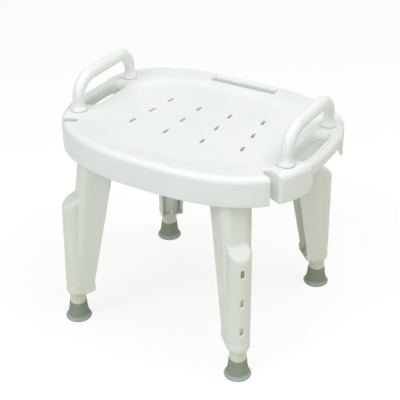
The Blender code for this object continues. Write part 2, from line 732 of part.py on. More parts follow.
def leg_housing_mesh():
    """The channel, the column with its bore and holes, and the heel rib, as one moulding."""
    channel = add_tool("leg_channel", channel_body("leg_channel", 0.0, 0.0))
    hollow = add_tool("leg_hollow", channel_body("leg_hollow", LEG_WALL, 2.0 * THROUGH))
    combine(channel, hollow, "DIFFERENCE")
    shell = finished_mesh(channel)
    merge_close_points(shell)
    housing = add_tool("leg_housing", shell)
    column = add_tool("leg_column", column_body("leg_column"))
    root = COLUMN_CHAMFER - COLUMN_RADIUS
    rib_rings = []
    for k, height in enumerate((LEG_BOTTOM + COLUMN_CHAMFER_HEIGHT / 2.0, LEG_BOTTOM + HEEL_RIB_HEIGHT)):
        tip = -COLUMN_RADIUS - HEEL_RIB_DEPTH[k]
        half, tip_half = HEEL_RIB_HALF[k], HEEL_RIB_TIP_HALF[k]
        corners = ((root, -half), (root, half), (tip, tip_half), (tip, -tip_half))
        rib_rings.append([(x, y, height) for x, y in corners])
    rib = add_tool("leg_heel_rib", loft("leg_heel_rib", rib_rings))
    bore_mesh = cylinder("leg_bore", TUBE_RADIUS + TUBE_PLAY, LEG_BOTTOM - THROUGH, BORE_TOP)
    bore = add_tool("leg_bore", bore_mesh)
    holes = [
        height_hole("leg_holes", HOLE_TOP - HOLE_PITCH * k, 0.0, 0.0, HOLE_SINK)
        for k in range(HOLE_COUNT)
    ]
    hole_tool = add_tool("leg_holes", join_meshes("leg_holes", holes))
    screw_holes = [
        cylinder("leg_screw_holes", LEG_SCREW[0] + GAP, LEG_TOP - 2.0 * LEG_WALL, LEG_TOP + THROUGH,
                 (-depth, 0.0), HOLE_SIDES)
        for depth in LEG_SCREW_DEPTHS
    ]
    screw_tool = add_tool("leg_screw_holes", join_meshes("leg_screw_holes", screw_holes))
    combine(housing, column, "UNION")
    combine(housing, rib, "UNION")
    combine(housing, bore, "DIFFERENCE")
    combine(housing, hole_tool, "DIFFERENCE")
    combine(housing, screw_tool, "DIFFERENCE")
    mesh = finished_mesh(housing)
    merge_flat_faces(mesh)
    for tool in (hollow, column, rib, bore, hole_tool, screw_tool):
        bpy.data.objects.remove(tool, do_unlink=True)
    shade_round(lean(mesh))
    return mesh


def extension_mesh():
    """The tube that slides in the column, with the hole that its snap button stands in."""
    inner = TUBE_RADIUS - TUBE_WALL
    top = BORE_TOP - TUBE_TOP_CLEARANCE
    chamfer = TUBE_WALL / 3.0
    profile = [
        (inner, TUBE_BOTTOM), (inner, top), (TUBE_RADIUS - chamfer, top),
        (TUBE_RADIUS, top - chamfer), (TUBE_RADIUS, TUBE_BOTTOM), (inner, TUBE_BOTTOM),
    ]
    tube = add_tool("leg_extension", turned("leg_extension", profile, TUBE_SIDES))
    hole = add_tool("extension_hole", height_hole("extension_hole", HOLE_TOP, 0.0, 0.0, HOLE_SINK))
    combine(tube, hole, "DIFFERENCE")
    mesh = finished_mesh(tube)
    merge_flat_faces(mesh)
    bpy.data.objects.remove(hole, do_unlink=True)
    shade_round(lean(mesh))
    return mesh


def snap_button_mesh():
    """The clip: an oblong button head on one arm of a V spring whose other arm bears behind."""
    inner = (TUBE_RADIUS - TUBE_WALL) * cos(pi / TUBE_SIDES)
    reach = sqrt(inner ** 2 - (CLIP_WIDTH / 2.0) ** 2)
    front = reach - GAP - CLIP_STRIP / 2.0
    back = -reach + BUTTON_TRAVEL + CLIP_FAR_ROOM + CLIP_STRIP / 2.0
    low = HOLE_TOP - CLIP_BELOW
    high = HOLE_TOP + CLIP_ABOVE
    bend = CLIP_BEND_RADIUS
    path = [(front, high)]
    for step in range(CORNER_STEPS + 1):
        turn = step / CORNER_STEPS * pi
        path.append((front - bend * (1.0 - cos(turn)), low + bend * (1.0 - sin(turn))))
    path.append((back, high))
    points = np.array(path)
    along = np.gradient(points, axis=0)
    along /= np.linalg.norm(along, axis=1)[:, None]
    side = np.stack([-along[:, 1], along[:, 0]], axis=1) * CLIP_STRIP / 2.0
    half = CLIP_WIDTH / 2.0
    rings = []
    for one, other in zip(points + side, points - side):
        rings.append([
            (one[0], -half, one[1]), (one[0], half, one[1]),
            (other[0], half, other[1]), (other[0], -half, other[1]),
        ])
    clip = add_tool("snap_button", loft("snap_button", rings))
    head_front = COLUMN_RADIUS - BUTTON_RECESS
    head = height_hole("button_head", HOLE_TOP, -GAP, front, 0.0)
    for vertex in head.vertices:
        vertex.co.x = min(vertex.co.x, head_front)
    head_tool = add_tool("button_head", head)
    combine(clip, head_tool, "UNION")
    mesh = finished_mesh(clip)
    merge_flat_faces(mesh)
    bpy.data.objects.remove(head_tool, do_unlink=True)
    shade_round(lean(mesh))
    return mesh


def foot_mesh():
    """The rubber foot: a socket for the tube, a hollow flare, a base ring and a tread."""
    socket = TUBE_RADIUS + GAP
    floor = TUBE_BOTTOM - GAP
    profile = [(0.0, floor), (socket, floor), (socket, FOOT_HEIGHT)]
    profile.append((FOOT_TOP_RADIUS, FOOT_HEIGHT))
    collar = FOOT_HEIGHT - FOOT_COLLAR
    for step in range(CORNER_STEPS + 1):
        share = step / CORNER_STEPS
        radius = FOOT_TOP_RADIUS + (FOOT_WAIST_RADIUS - FOOT_TOP_RADIUS) * share ** FOOT_FLARE
        profile.append((radius, collar - (collar - FOOT_WAIST_HEIGHT) * share))
    profile += [(FOOT_RING_RADIUS, FOOT_RING_HEIGHT), (FOOT_RING_RADIUS, FOOT_RING_HEIGHT * 0.6)]
    profile += [(FOOT_BASE_RADIUS, 0.0), *FOOT_TREAD, (0.0, 0.0)]
    mesh = turned("foot", profile, TUBE_SIDES)
    shade_round(lean(mesh))
    return mesh


def screw_mesh(name, sizes, grip):
    """A pan-head screw that points up, with the underside of its head at the origin."""
    shank, head, head_height = sizes
    profile = [
        (0.0, grip), (shank * SCREW_TIP_SHARE, grip), (shank, grip - shank), (shank, 0.0), (head, 0.0),
        (head, -head_height / 2.0), (head * SCREW_CROWN_SHARE, -head_height), (0.0, -head_height),
    ]
    mesh = turned(name, profile, SCREW_SIDES)
    shade_round(mesh)
    return mesh


def handle_mesh():
    """A staple of round tube, with a turned flange and a spigot on each end."""
    base = SEAT_TOP + HANDLE_PAD_RISE + GAP
    top = SEAT_TOP + HANDLE_HEIGHT
    path = [(0.0, HANDLE_FRONT, base + FLANGE_LIP)]
    arc = [step / HANDLE_BEND_STEPS * pi / 2.0 for step in range(HANDLE_BEND_STEPS + 1)]
    for turn in arc:
        y = HANDLE_FRONT + HANDLE_BEND * (1.0 - cos(turn))
        path.append((0.0, y, top - HANDLE_BEND * (1.0 - sin(turn))))
    for turn in arc:
        y = HANDLE_REAR - HANDLE_BEND * (1.0 - sin(turn))
        path.append((0.0, y, top - HANDLE_BEND * (1.0 - cos(turn))))
    path.append((0.0, HANDLE_REAR, base + FLANGE_LIP))
    swell = [smooth_step((z - base) / (HANDLE_HEIGHT - GAP)) for _, _, z in path]
    radii = [HANDLE_POST_RADIUS + (HANDLE_GRIP_RADIUS - HANDLE_POST_RADIUS) * float(s) for s in swell]
    handle = add_tool("handle", round_bar("handle", path, radii, HANDLE_SIDES))
    screw_hole = HANDLE_SCREW[0] + GAP
    bottom = SEAT_TOP - SPIGOT_LENGTH
    neck = HANDLE_POST_RADIUS + FLANGE_NECK_STEP
    profile = [(0.0, base + FLANGE_HEIGHT), (neck, base + FLANGE_HEIGHT)]
    for step in range(1, CORNER_STEPS):
        share = step / (CORNER_STEPS - 1)
        radius = neck + (FLANGE_RADIUS - neck) * share ** 2
        profile.append((radius, base + FLANGE_HEIGHT + (FLANGE_LIP - FLANGE_HEIGHT) * share))
    profile.append((FLANGE_RADIUS, base))
    profile += [(SPIGOT_RADIUS, base), (SPIGOT_RADIUS, bottom), (screw_hole, bottom)]
    profile += [(screw_hole, bottom + HANDLE_SCREW_GRIP + GAP), (0.0, bottom + HANDLE_SCREW_GRIP + GAP)]
    for name, y in (("handle_front_end", HANDLE_FRONT), ("handle_rear_end", HANDLE_REAR)):
        mesh = turned(name, profile, FLANGE_SIDES)
        mesh.transform(Matrix.Translation((0.0, y, 0.0)))
        end = add_tool(name, mesh)
        combine(handle, end, "UNION")
    mesh = finished_mesh(handle)
    merge_flat_faces(mesh)
    for name in ("handle_front_end", "handle_rear_end"):
        bpy.data.objects.remove(bpy.data.objects[name], do_unlink=True)
    shade_round(mesh)
    return mesh


def seat_mesh():
    """The moulded seat: its outer form, less a hollow core, openings, notches and holes."""
    seat = add_tool("seat", seat_body("seat", 0.0, 4))
    core = add_tool("seat_core", seat_body("seat_core", SHELL_WALL, 2))
    low = SEAT_TOP - PAN_FLOOR[4] - SHELL_WALL - RIB_DEPTH
    high = SEAT_TOP + THROUGH
    half = RIB_THICKNESS / 2.0
    rib_x = OPENING_INNER - SHELL_WALL / 2.0
    rib_y = SEAT_HALF_DEPTH
    across = [box("rib", (-rib_x, y - half, low), (rib_x, y + half, high)) for y in RIB_ROWS]
    along = [box("rib", (x - half, -rib_y, low), (x + half, rib_y, high)) for x in RIB_COLUMNS]
    for name, ribs in (("ribs_across", across), ("ribs_along", along)):
        combine(core, add_tool(name, join_meshes(name, ribs)), "DIFFERENCE")

    sockets = []
    bores = []
    floor_holes = []
    pads = []
    for y in (HANDLE_FRONT, HANDLE_REAR):
        place = (HANDLE_X, y)
        outer = SPIGOT_RADIUS + GAP + SOCKET_WALL
        under = SEAT_TOP - SOCKET_DEPTH - SOCKET_FLOOR
        sockets.append(cylinder("socket", outer, under, high, place))
        pads.append(cylinder("pad", HANDLE_PAD_RADIUS, SEAT_TOP - HANDLE_PAD_DEPTH,
                             SEAT_TOP + HANDLE_PAD_RISE, place))
        bores.append(cylinder("bore", SPIGOT_RADIUS + GAP, SEAT_TOP - SOCKET_DEPTH, high, place))
        floor_holes.append(
            cylinder("hole", HANDLE_SCREW[0] + GAP, under - THROUGH, high, place, HOLE_SIDES))

    socket_tool = add_tool("handle_sockets", join_meshes("handle_sockets", sockets))
    mirror_across(socket_tool)
    combine(core, socket_tool, "DIFFERENCE")

    beds = []
    pilots = []
    for name, side_x, side_y in CORNERS:
        place = leg_frame(side_x, side_y)
        outline = channel_ring(LEG_TOP, LEG_TOP_ROUND)
        bed = loft("bed", [[(x, y, z) for x, y, _ in outline] for z in (LEG_TOP + GAP, high)])
        bed.transform(place @ Matrix.Translation((-LEG_LEAN * LEG_TOP, 0.0, 0.0)))
        beds.append(bed)
        for depth in LEG_SCREW_DEPTHS:
            centre = place @ Vector((-depth - LEG_LEAN * LEG_TOP, 0.0, 0.0))
            pilots.append(cylinder("pilot", LEG_SCREW[0] + GAP, LEG_TOP - THROUGH,
                                   LEG_TOP + 2.0 * GAP + LEG_SCREW_GRIP, centre, HOLE_SIDES))
    combine(core, add_tool("leg_beds", join_meshes("leg_beds", beds)), "DIFFERENCE")

    opening_wall = add_tool("opening_walls", opening_tool("opening_walls", SHELL_WALL))
    notch_wall = add_tool("notch_walls", notch_tool("notch_walls", SHELL_WALL))
    for tool in (opening_wall, notch_wall):
        mirror_across(tool)
        combine(core, tool, "DIFFERENCE")
    collar_low = SEAT_TOP - HAND_SLOT_COLLAR
    collar = add_tool("hand_slot_collar", hand_slot_tool("hand_slot_collar", SHELL_WALL, collar_low))
    combine(core, collar, "DIFFERENCE")

    combine(seat, core, "DIFFERENCE")
    opening = add_tool("openings", opening_tool("openings", 0.0))
    notch = add_tool("notches", notch_tool("notches", 0.0))
    for tool in (opening, notch):
        mirror_across(tool)
        combine(seat, tool, "DIFFERENCE")
    relief = box("reliefs", (RELIEF_INNER, OPENING_REAR, SEAT_TOP - SKIRT_DEPTH - THROUGH),
                 (RELIEF_OUTER, OPENING_WEDGE_LOW + RELIEF_DEPTH, SEAT_TOP - OPENING_WEDGE_DROP))
    relief_tool = add_tool("reliefs", relief)
    mirror_across(relief_tool)
    combine(seat, relief_tool, "DIFFERENCE")
    slot = hand_slot_tool("hand_slot", 0.0, SEAT_TOP - SKIRT_DEPTH - THROUGH)
    combine(seat, add_tool("hand_slot", slot), "DIFFERENCE")

    rail = add_tool("rails", rail_mesh())
    pad_tool = add_tool("handle_pads", join_meshes("handle_pads", pads))
    for tool in (rail, pad_tool):
        mirror_across(tool)
        combine(seat, tool, "UNION")
    combine(seat, add_tool("drain_slots", drain_tool("drain_slots")), "DIFFERENCE")
    bore_tool = add_tool("socket_bores", join_meshes("socket_bores", bores))
    hole_tool = add_tool("socket_holes", join_meshes("socket_holes", floor_holes))
    for tool in (bore_tool, hole_tool):
        mirror_across(tool)
        combine(seat, tool, "DIFFERENCE")
    combine(seat, add_tool("leg_pilots", join_meshes("leg_pilots", pilots)), "DIFFERENCE")
    mesh = finished_mesh(seat)
    merge_flat_faces(mesh)
    shade_round(mesh)
    return mesh


def rail_mesh():
    """The grip rail: oval sections that swell and rise until they meet the corner blocks."""
    middle = (HANDLE_FRONT + HANDLE_REAR) / 2.0
    reach = (HANDLE_REAR - HANDLE_FRONT) / 2.0 - SPIGOT_RADIUS
    turns = np.arange(RAIL_SIDES) * 2.0 * pi / RAIL_SIDES
    rings = []
    for step in range(RAIL_STATIONS):
        away = 2.0 * step / (RAIL_STATIONS - 1) - 1.0
        y = middle + away * reach
        outer = outline_x(y) - RAIL_INSET[0] - (RAIL_INSET[1] - RAIL_INSET[0]) * away ** 4
        margin = RAIL_INNER_MARGIN[0] + (RAIL_INNER_MARGIN[1] - RAIL_INNER_MARGIN[0]) * away ** 6
        inner = SEAT_HALF_WIDTH - margin
        top = SEAT_TOP - RAIL_TOP_DROP[0] - (RAIL_TOP_DROP[1] - RAIL_TOP_DROP[0]) * away ** 4
        bottom = SEAT_TOP - RAIL_BOTTOM_DROP[0] - (RAIL_BOTTOM_DROP[1] - RAIL_BOTTOM_DROP[0]) * away ** 4
        x = (outer + inner) / 2.0 + (outer - inner) / 2.0 * np.cos(turns)
        z = (top + bottom) / 2.0 + (top - bottom) / 2.0 * np.sin(turns)
        rings.append(np.stack([x, np.full(RAIL_SIDES, y), z], axis=1))
    return loft("rails", rings)


def build():
    add_part("seat", seat_mesh(), "seat_plastic")
    handle = handle_mesh()
    handle_screw = screw_mesh("handle_screw", HANDLE_SCREW, SOCKET_FLOOR + HANDLE_SCREW_GRIP)
    for side, name in ((-1, "left"), (1, "right")):
        part = add_part(f"handle_{name}", handle, "handle_plastic")
        part.location.x = side * HANDLE_X
        for y, end in ((HANDLE_FRONT, "front"), (HANDLE_REAR, "back")):
            screw = add_part(f"handle_screw_{end}_{name}", handle_screw, "screw_steel")
            under = SEAT_TOP - SOCKET_DEPTH - SOCKET_FLOOR - GAP
            screw.location = (side * HANDLE_X, y, under)

    meshes = {
        "leg_housing": (leg_housing_mesh(), "leg_plastic"),
        "leg_extension": (extension_mesh(), "tube_plastic"),
        "snap_button": (snap_button_mesh(), "clip_steel"),
        "foot": (foot_mesh(), "foot_rubber"),
    }
    leg_screw = screw_mesh("leg_screw", LEG_SCREW, LEG_WALL + LEG_SCREW_GRIP)
    for corner, side_x, side_y in CORNERS:
        empty = bpy.data.objects.new(f"leg_axis_{corner}", None)
        empty.matrix_world = leg_frame(side_x, side_y)
        PARTS.objects.link(empty)
        for kind, (mesh, finish) in meshes.items():
            part = add_part(f"{kind}_{corner}", mesh, finish)
            part.parent = empty
        for letter, depth in zip("ab", LEG_SCREW_DEPTHS):
            screw = add_part(f"leg_screw_{corner}_{letter}", leg_screw, "screw_steel")
            screw.parent = empty
            screw.location = (-depth - LEG_LEAN * LEG_TOP, 0.0, LEG_TOP - LEG_WALL - GAP)
    bpy.context.view_layer.update()


build()
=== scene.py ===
import bpy
import numpy as np
from mathutils import Matrix, Vector


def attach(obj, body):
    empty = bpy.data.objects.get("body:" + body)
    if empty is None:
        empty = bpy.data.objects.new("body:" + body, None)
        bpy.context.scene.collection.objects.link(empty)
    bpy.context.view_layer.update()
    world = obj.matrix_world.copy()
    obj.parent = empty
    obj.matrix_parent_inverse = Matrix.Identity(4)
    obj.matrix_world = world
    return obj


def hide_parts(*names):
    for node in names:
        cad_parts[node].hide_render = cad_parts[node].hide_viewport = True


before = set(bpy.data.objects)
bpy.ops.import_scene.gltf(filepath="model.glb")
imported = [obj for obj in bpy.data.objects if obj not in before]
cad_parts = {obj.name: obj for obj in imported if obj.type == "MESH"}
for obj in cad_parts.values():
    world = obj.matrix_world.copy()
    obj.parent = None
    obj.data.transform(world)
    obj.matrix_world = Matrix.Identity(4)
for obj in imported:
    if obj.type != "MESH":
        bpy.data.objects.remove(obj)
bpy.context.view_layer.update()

# The stage is a plain pale floor in soft studio light, seen from the photograph's viewpoint.
# Floor and background are white to the camera, in gloss and through clear parts, and the
# floor keeps the seat's shadow.
CAMERA_PLACE = (0.86149, -1.49179, 1.24807)
CAMERA_AZIMUTH = 30.0234
CAMERA_HEIGHT = 30.5654
CAMERA_LENS = 93.3
FLOOR_HALF = 8.0
FLOOR_WHITE = (0.82, 0.83, 0.78, 1.0)
WHITE = (1.0, 1.0, 1.0, 1.0)
FLOOR_GLOW = 1.10
SKY = (0.86, 0.91, 0.68, 1.0)
SKY_LEVEL = 0.42
SHADOW_SHARE = 0.25
LAMP_TARGET = (0.0, 0.0, 0.3)
# Each lamp: where it stands, its size, power and colour
LAMPS = {
    "key_lamp": ((-0.77, -2.11, 2.98), 1.6, 35.0, (0.97, 0.97, 1.19)),
    "fill_lamp": ((1.20, -2.80, 0.96), 2.0, 14.0, (0.97, 0.98, 1.16)),
    "top_lamp": ((0.9, 0.1, 3.1), 2.4, 44.0, (1.0, 0.98, 1.07)),
}


def add_node(tree, kind, inputs=(), **settings):
    """A shader node with its settings and its inputs, where an input is a value or a socket."""
    node = tree.nodes.new(f"ShaderNode{kind}")
    for key, value in settings.items():
        setattr(node, key, value)
    for key, value in dict(inputs).items():
        if isinstance(value, bpy.types.NodeSocket):
            tree.links.new(value, node.inputs[key])
        else:
            node.inputs[key].default_value = value
    return node


def math_node(tree, operation, first, second):
    """The result of one operation on two values or sockets."""
    return add_node(tree, "Math", {0: first, 1: second}, operation=operation).outputs[0]


def seen_directly(tree):
    """1 for rays from the camera, from gloss and through clear parts, and 0 for those of light."""
    path = add_node(tree, "LightPath").outputs
    gloss = math_node(tree, "MAXIMUM", path["Is Glossy Ray"], path["Is Transmission Ray"])
    return math_node(tree, "MAXIMUM", path["Is Camera Ray"], gloss)


def bare_tree(owner):
    """The node tree of a world or a material, emptied."""
    owner.use_nodes = True
    owner.node_tree.nodes.clear()
    return owner.node_tree


def new_finish(name):
    """An empty material with its node tree."""
    material = bpy.data.materials.new(name)
    return material, bare_tree(material)


def placed(name, data):
    """A new object in the scene."""
    made = bpy.data.objects.new(name, data)
    scene.collection.objects.link(made)
    return made


scene = bpy.context.scene
scene.view_settings.view_transform = "Standard"

world = bpy.data.worlds.new("studio")
scene.world = world
tree = bare_tree(world)
soft = add_node(tree, "Background", {"Color": SKY, "Strength": SKY_LEVEL})
white = add_node(tree, "Background", {"Color": WHITE, "Strength": 1.0})
mixed = add_node(tree, "MixShader", {0: seen_directly(tree), 1: soft.outputs[0], 2: white.outputs[0]})
add_node(tree, "OutputWorld", {"Surface": mixed.outputs[0]})

paper, tree = new_finish("studio_paper")
matt = add_node(tree, "BsdfDiffuse", {"Color": FLOOR_WHITE})
glow = add_node(tree, "Emission", {"Color": WHITE, "Strength": FLOOR_GLOW})
shown = add_node(tree, "MixShader", {0: SHADOW_SHARE, 1: glow.outputs[0], 2: matt.outputs[0]})
mixed = add_node(tree, "MixShader", {0: seen_directly(tree), 1: matt.outputs[0], 2: shown.outputs[0]})
add_node(tree, "OutputMaterial", {"Surface": mixed.outputs[0]})

floor_mesh = bpy.data.meshes.new("studio_floor")
floor_corners = np.array([(-1, -1, 0), (1, -1, 0), (1, 1, 0), (-1, 1, 0)], float) * FLOOR_HALF
floor_mesh.from_pydata(floor_corners, [], [(0, 1, 2, 3)])
floor_mesh.materials.append(paper)
floor = placed("studio_floor", floor_mesh)

for name, (place, size, power, colour) in LAMPS.items():
    light = bpy.data.lights.new(name, "AREA")
    light.shape = "DISK"
    light.size = size
    light.energy = power
    light.color = colour
    lamp = placed(name, light)
    lamp.location = place
    lamp.rotation_euler = (Vector(LAMP_TARGET) - Vector(place)).to_track_quat("-Z", "Y").to_euler()

lens = bpy.data.cameras.new("camera")
lens.lens = CAMERA_LENS
camera = placed("camera", lens)
azimuth, height = np.radians(CAMERA_AZIMUTH), np.radians(CAMERA_HEIGHT)
back = Vector((np.sin(azimuth) * np.cos(height), -np.cos(azimuth) * np.cos(height), np.sin(height)))
camera.location = CAMERA_PLACE
camera.rotation_euler = (-back).to_track_quat("-Z", "Y").to_euler()
scene.camera = camera

# The seat is one injection moulding in white plastic: a rim round a dished pan with twelve
# drain slots, grip openings with rails at the sides, hose notches in the front corners and a
# hand slot behind. It is a thin shell, with ribs, handle sockets and leg beds under the pan.
CUT, JOIN = "DIFFERENCE", "UNION"
GAP = 0.0003
THROUGH = 0.01
TOP = 0.4062
HALF_WIDTH, HALF_DEPTH = 0.2575, 0.198
SQUARENESS = (2.6, 2.9)
SKIRT_DEPTH = 0.0552
SKIRT_LIP = 0.0012
SKIRT_ROWS = (0.020, 0.033, 0.045)
SHELL = 0.003
RIM_ROUND = (0.012, 0.005)
RIM_BLEND = (0.10, 0.35)
LEAST_ROUND = 0.0005
PAN_SAG = 0.0005
SKIRT_LOW = TOP - SKIRT_DEPTH
# Pan rings: half width, reach to the front and rear, squareness, and drop at front, side, rear
PAN_FLOOR = (0.178, 0.148, 0.111, 2.3, 0.0100, 0.0100, 0.0100)
PAN_EDGE = (0.181, 0.151, 0.114, 2.3, 0.0092, 0.0092, 0.0092)
SLOPE_FOOT = (0.190, 0.163, 0.138, 2.75, 0.0060, 0.0060, 0.0082)
SLOPE_HEAD = (0.205, 0.178, 0.158, 2.90, 0.0020, 0.0020, 0.0)
PAN_LOW = TOP - PAN_FLOOR[4] - PAN_SAG
PAN_ROWS = (3, 7, 10, 7)
PAN_EASE = 6
DRAIN_CENTRE_Y = 0.7725
DRAIN_RADII = (0.832, 0.776, 0.720)
DRAIN_ANGLES = (-7.98, -2.64, 2.64, 7.98)
DRAIN_LENGTH, DRAIN_WIDTH, DRAIN_ROUND = 0.019, 0.005, 0.0008
# Each drain slot's distance from the point behind the seat, and its angle's cosine and sine
DRAINS = [
    (reach, np.cos(angle), np.sin(angle)) for reach in DRAIN_RADII for angle in np.radians(DRAIN_ANGLES)]
DRAIN_COLLAR, DRAIN_COLLAR_WALL, DRAIN_ABOVE = 0.011, 0.002, 0.004
SLOT_SHADE_START, SLOT_SHADE_BLEND, PAINTED_LIGHT_BLEND = 0.001, 0.0015, 0.0006
HAND_SLOT_HALF, HAND_SLOT_SLANT = 0.066, 0.005
HAND_SLOT_Y = (0.162, 0.185)
HAND_SLOT_COLLAR, HAND_SLOT_COLLAR_BEHIND = 0.022, 0.004
HAND_SLOT_CORNER, HAND_SLOT_ROUNDS = 0.006, (0.0022, 0.0085)
OPENING_INNER, OPENING_FRONT, OPENING_REAR = 0.207, -0.053, 0.064
OPENING_CORNER, OPENING_ROUND, OPENING_END_FLARE = 0.020, 0.0165, 0.4
OPENING_LEDGE, OPENING_LEDGE_WIDTH, OPENING_HEEL = 0.022, 0.002, 0.020
OPENING_WEDGE_HIGH, OPENING_WEDGE_LOW = (0.0282, 0.070), 0.093
# The relief behind each opening: from where to where across, and how far past the wedge
RELIEF = ((0.226, 0.2425), 0.008)
RAIL_INSET, RAIL_INNER = (0.00195, 0.0006), (0.2330, 0.2110)
RAIL_TOP_DROP, RAIL_BOTTOM_DROP = (0.0030, 0.0002), (0.0285, 0.0300)
RAIL_SQUARENESS = (3.0, 3.6)
NOTCH_TIP, NOTCH_ANGLE, NOTCH_WIDTH = (0.193, -0.116), -26.0, 0.016
NOTCH_ROUND, NOTCH_MOUTH_ROUNDS, NOTCH_SEARCH = 0.005, (0.0075, 0.003), 0.0002
RIB_THICKNESS, RIB_DEPTH = 0.0025, 0.016
RIB_ROWS, RIB_COLUMNS = (-0.029, 0.028), (-0.075, 0.0, 0.075)
HANDLE_X, HANDLE_Y = 0.2155, (-0.082, 0.092)
# The pad under each handle flange: radius, height above the rim and depth below it
PAD = (0.0156, 0.0004, 0.009)
SPIGOT_RADIUS, SOCKET_WALL, SOCKET_FLOOR, SOCKET_DEPTH = 0.008, 0.0047, 0.004, 0.022
# Screws: radius of the shank and of the head, and height of the head
HANDLE_SCREW = (0.0022, 0.0045, 0.0030)
LEG_SCREW = (0.0018, 0.0040, 0.0025)
LEG_SCREW_GRIP, LEG_SCREW_DEPTHS = 0.006, (0.034, 0.056)
FOOT_X, FOOT_Y = 0.179, 0.1725
LEG_LEAN = 0.012 * 2.0 ** 0.5
LEG_BOTTOM, LEG_TOP, LEG_TOP_ROUND = 0.062, 0.390, 0.012
CORNERS = {"front_right": (1, -1), "back_right": (1, 1), "back_left": (-1, 1), "front_left": (-1, -1)}


def smooth_step(values):
    """3v2 - 2v3, with v kept between 0 and 1."""
    values = np.clip(values, 0.0, 1.0)
    return values * values * (3.0 - 2.0 * values)


def mix(pair, share):
    """On the straight line from the first of two values to the second."""
    return pair[0] + (pair[1] - pair[0]) * share


def turns_of(count, shift=0.0):
    """Angles all the way round, in so many even steps."""
    return (np.arange(count) + shift) * 2.0 * np.pi / count


def quarter(count):
    """So many angles from 0 to a quarter turn."""
    return np.linspace(0.0, np.pi / 2.0, count)


def round_off(radius, turn):
    """What a round edge takes off on its two sides: r (1 - cos a) and r (1 - sin a)."""
    return radius * (1.0 - np.cos(turn)), radius * (1.0 - np.sin(turn))


def signed_power(values, power):
    """The size of a number to a power, with the number's own sign."""
    return np.sign(values) * np.abs(values) ** power


def grid(x, y, z):
    """Points (row, column, 3) from arrays that broadcast to rows and columns."""
    return np.stack(np.broadcast_arrays(x, y, z), axis=-1).astype(float)


def closed(rows, start=None, end=None):
    """Points and faces of a closed surface on a grid of rings: ring i, point j joins ring i + 1
    and point j + 1, counted round, and a fan closes each end at a pole, the ring's mean if none
    is given. The faces turn outwards where the sum of a . (b x c) over triangles is above 0."""
    count, around = rows.shape[:2]
    index = np.arange(count * around).reshape(count, around)
    after = np.roll(index, -1, axis=1)
    quads = np.stack([index[:-1], after[:-1], after[1:], index[1:]], axis=-1).reshape(-1, 4)
    first = np.full(around, count * around)
    fans = np.concatenate([
        np.stack([after[0], index[0], first], axis=1),
        np.stack([index[-1], after[-1], first + 1], axis=1)])
    poles = [rows[k].mean(axis=0) if pole is None else pole for k, pole in ((0, start), (-1, end))]
    points = np.concatenate([rows.reshape(-1, 3), np.array(poles, float)])
    triangles = np.concatenate([quads[:, :3], quads[:, [0, 2, 3]], fans])
    a, b, c = (points[triangles[:, k]] for k in range(3))
    if np.sum(a * np.cross(b, c)) < 0.0:
        quads, fans = quads[:, ::-1], fans[:, ::-1]
    return points, [quads, fans]


def other_side(surface):
    """The surface with x turned to -x, and its faces turned round to point outwards."""
    points, faces = surface
    return points * (-1.0, 1.0, 1.0), [block[:, ::-1] for block in faces]


def mesh_of(*surfaces):
    """One mesh from several surfaces that don't touch."""
    points, faces, start = [], [], 0
    for own_points, own_faces in surfaces:
        points.append(own_points)
        for block in own_faces:
            faces += (block + start).tolist()
        start += len(own_points)
    mesh = bpy.data.meshes.new("surface")
    mesh.from_pydata(np.concatenate(points), [], faces)
    return mesh


def both_sides(*surfaces):
    """One mesh of the surfaces and their mirror images."""
    return mesh_of(*surfaces, *(other_side(surface) for surface in surfaces))


def carved(mesh, *steps):
    """The mesh after exact Booleans in turn. Each step is an operation and another mesh."""
    items = [placed("blank", mesh)]
    for operation, other in steps:
        items.append(placed("cutter", other))
        modifier = items[0].modifiers.new(operation, "BOOLEAN")
        modifier.operation = operation
        modifier.solver = "EXACT"
        modifier.object = items[-1]
    bpy.context.view_layer.update()
    final = items[0].evaluated_get(bpy.context.evaluated_depsgraph_get())
    result = bpy.data.meshes.new_from_object(final)
    for item in items:
        bpy.data.objects.remove(item)
    return result


def smoothed(mesh, angle=32.0):
    """Round shading, with edges sharper than the angle left crisp."""
    mesh.shade_smooth()
    mesh.set_sharp_from_angle(angle=np.radians(angle))
    return mesh


def add_piece(name, mesh, material, body, node):
    """Put a finished piece in the scene, on its body and in its slot, for the CAD node."""
    mesh.name = name
    mesh.materials.clear()
    mesh.materials.append(material)
    made = placed(name, mesh)
    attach(made, body)
    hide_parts(node)


def oblong(radius, run, sides):
    """Two half circles drawn apart: r cos a, and r sin a + or - half the run."""
    turns = turns_of(sides, 0.5)
    return radius * np.cos(turns), radius * np.sin(turns) + run / 2.0 * np.sign(np.sin(turns))


def box_surface(low, high):
    """A box: its four upright edges at two heights."""
    x = np.array([low[0], high[0], high[0], low[0]])
    y = np.array([low[1], low[1], high[1], high[1]])
    return closed(grid(x, y, np.array([[low[2]], [high[2]]])))


def turned(profile, sides, centre=(0.0, 0.0)):
    """A profile of radius and height turned about an upright axis:
    x = r cos a, y = r sin a, z = h. A point of radius 0 at an end is its pole."""
    profile = np.array(profile, float)
    poles = [None, None]
    for k, end in enumerate((0, -1)):
        if profile[end, 0] == 0.0:
            poles[k] = (*centre, profile[end, 1])
    kept = profile[(1 if poles[0] else 0):(-1 if poles[1] else None)]
    turns = turns_of(sides)
    radius, height = kept[:, :1], kept[:, 1:]
    rows = grid(centre[0] + radius * np.cos(turns), centre[1] + radius * np.sin(turns), height)
    return closed(rows, *poles)


def rod(radius, low, high, sides, centre=(0.0, 0.0)):
    """A plain upright cylinder."""
    return turned([(radius, low), (radius, high)], sides, centre)


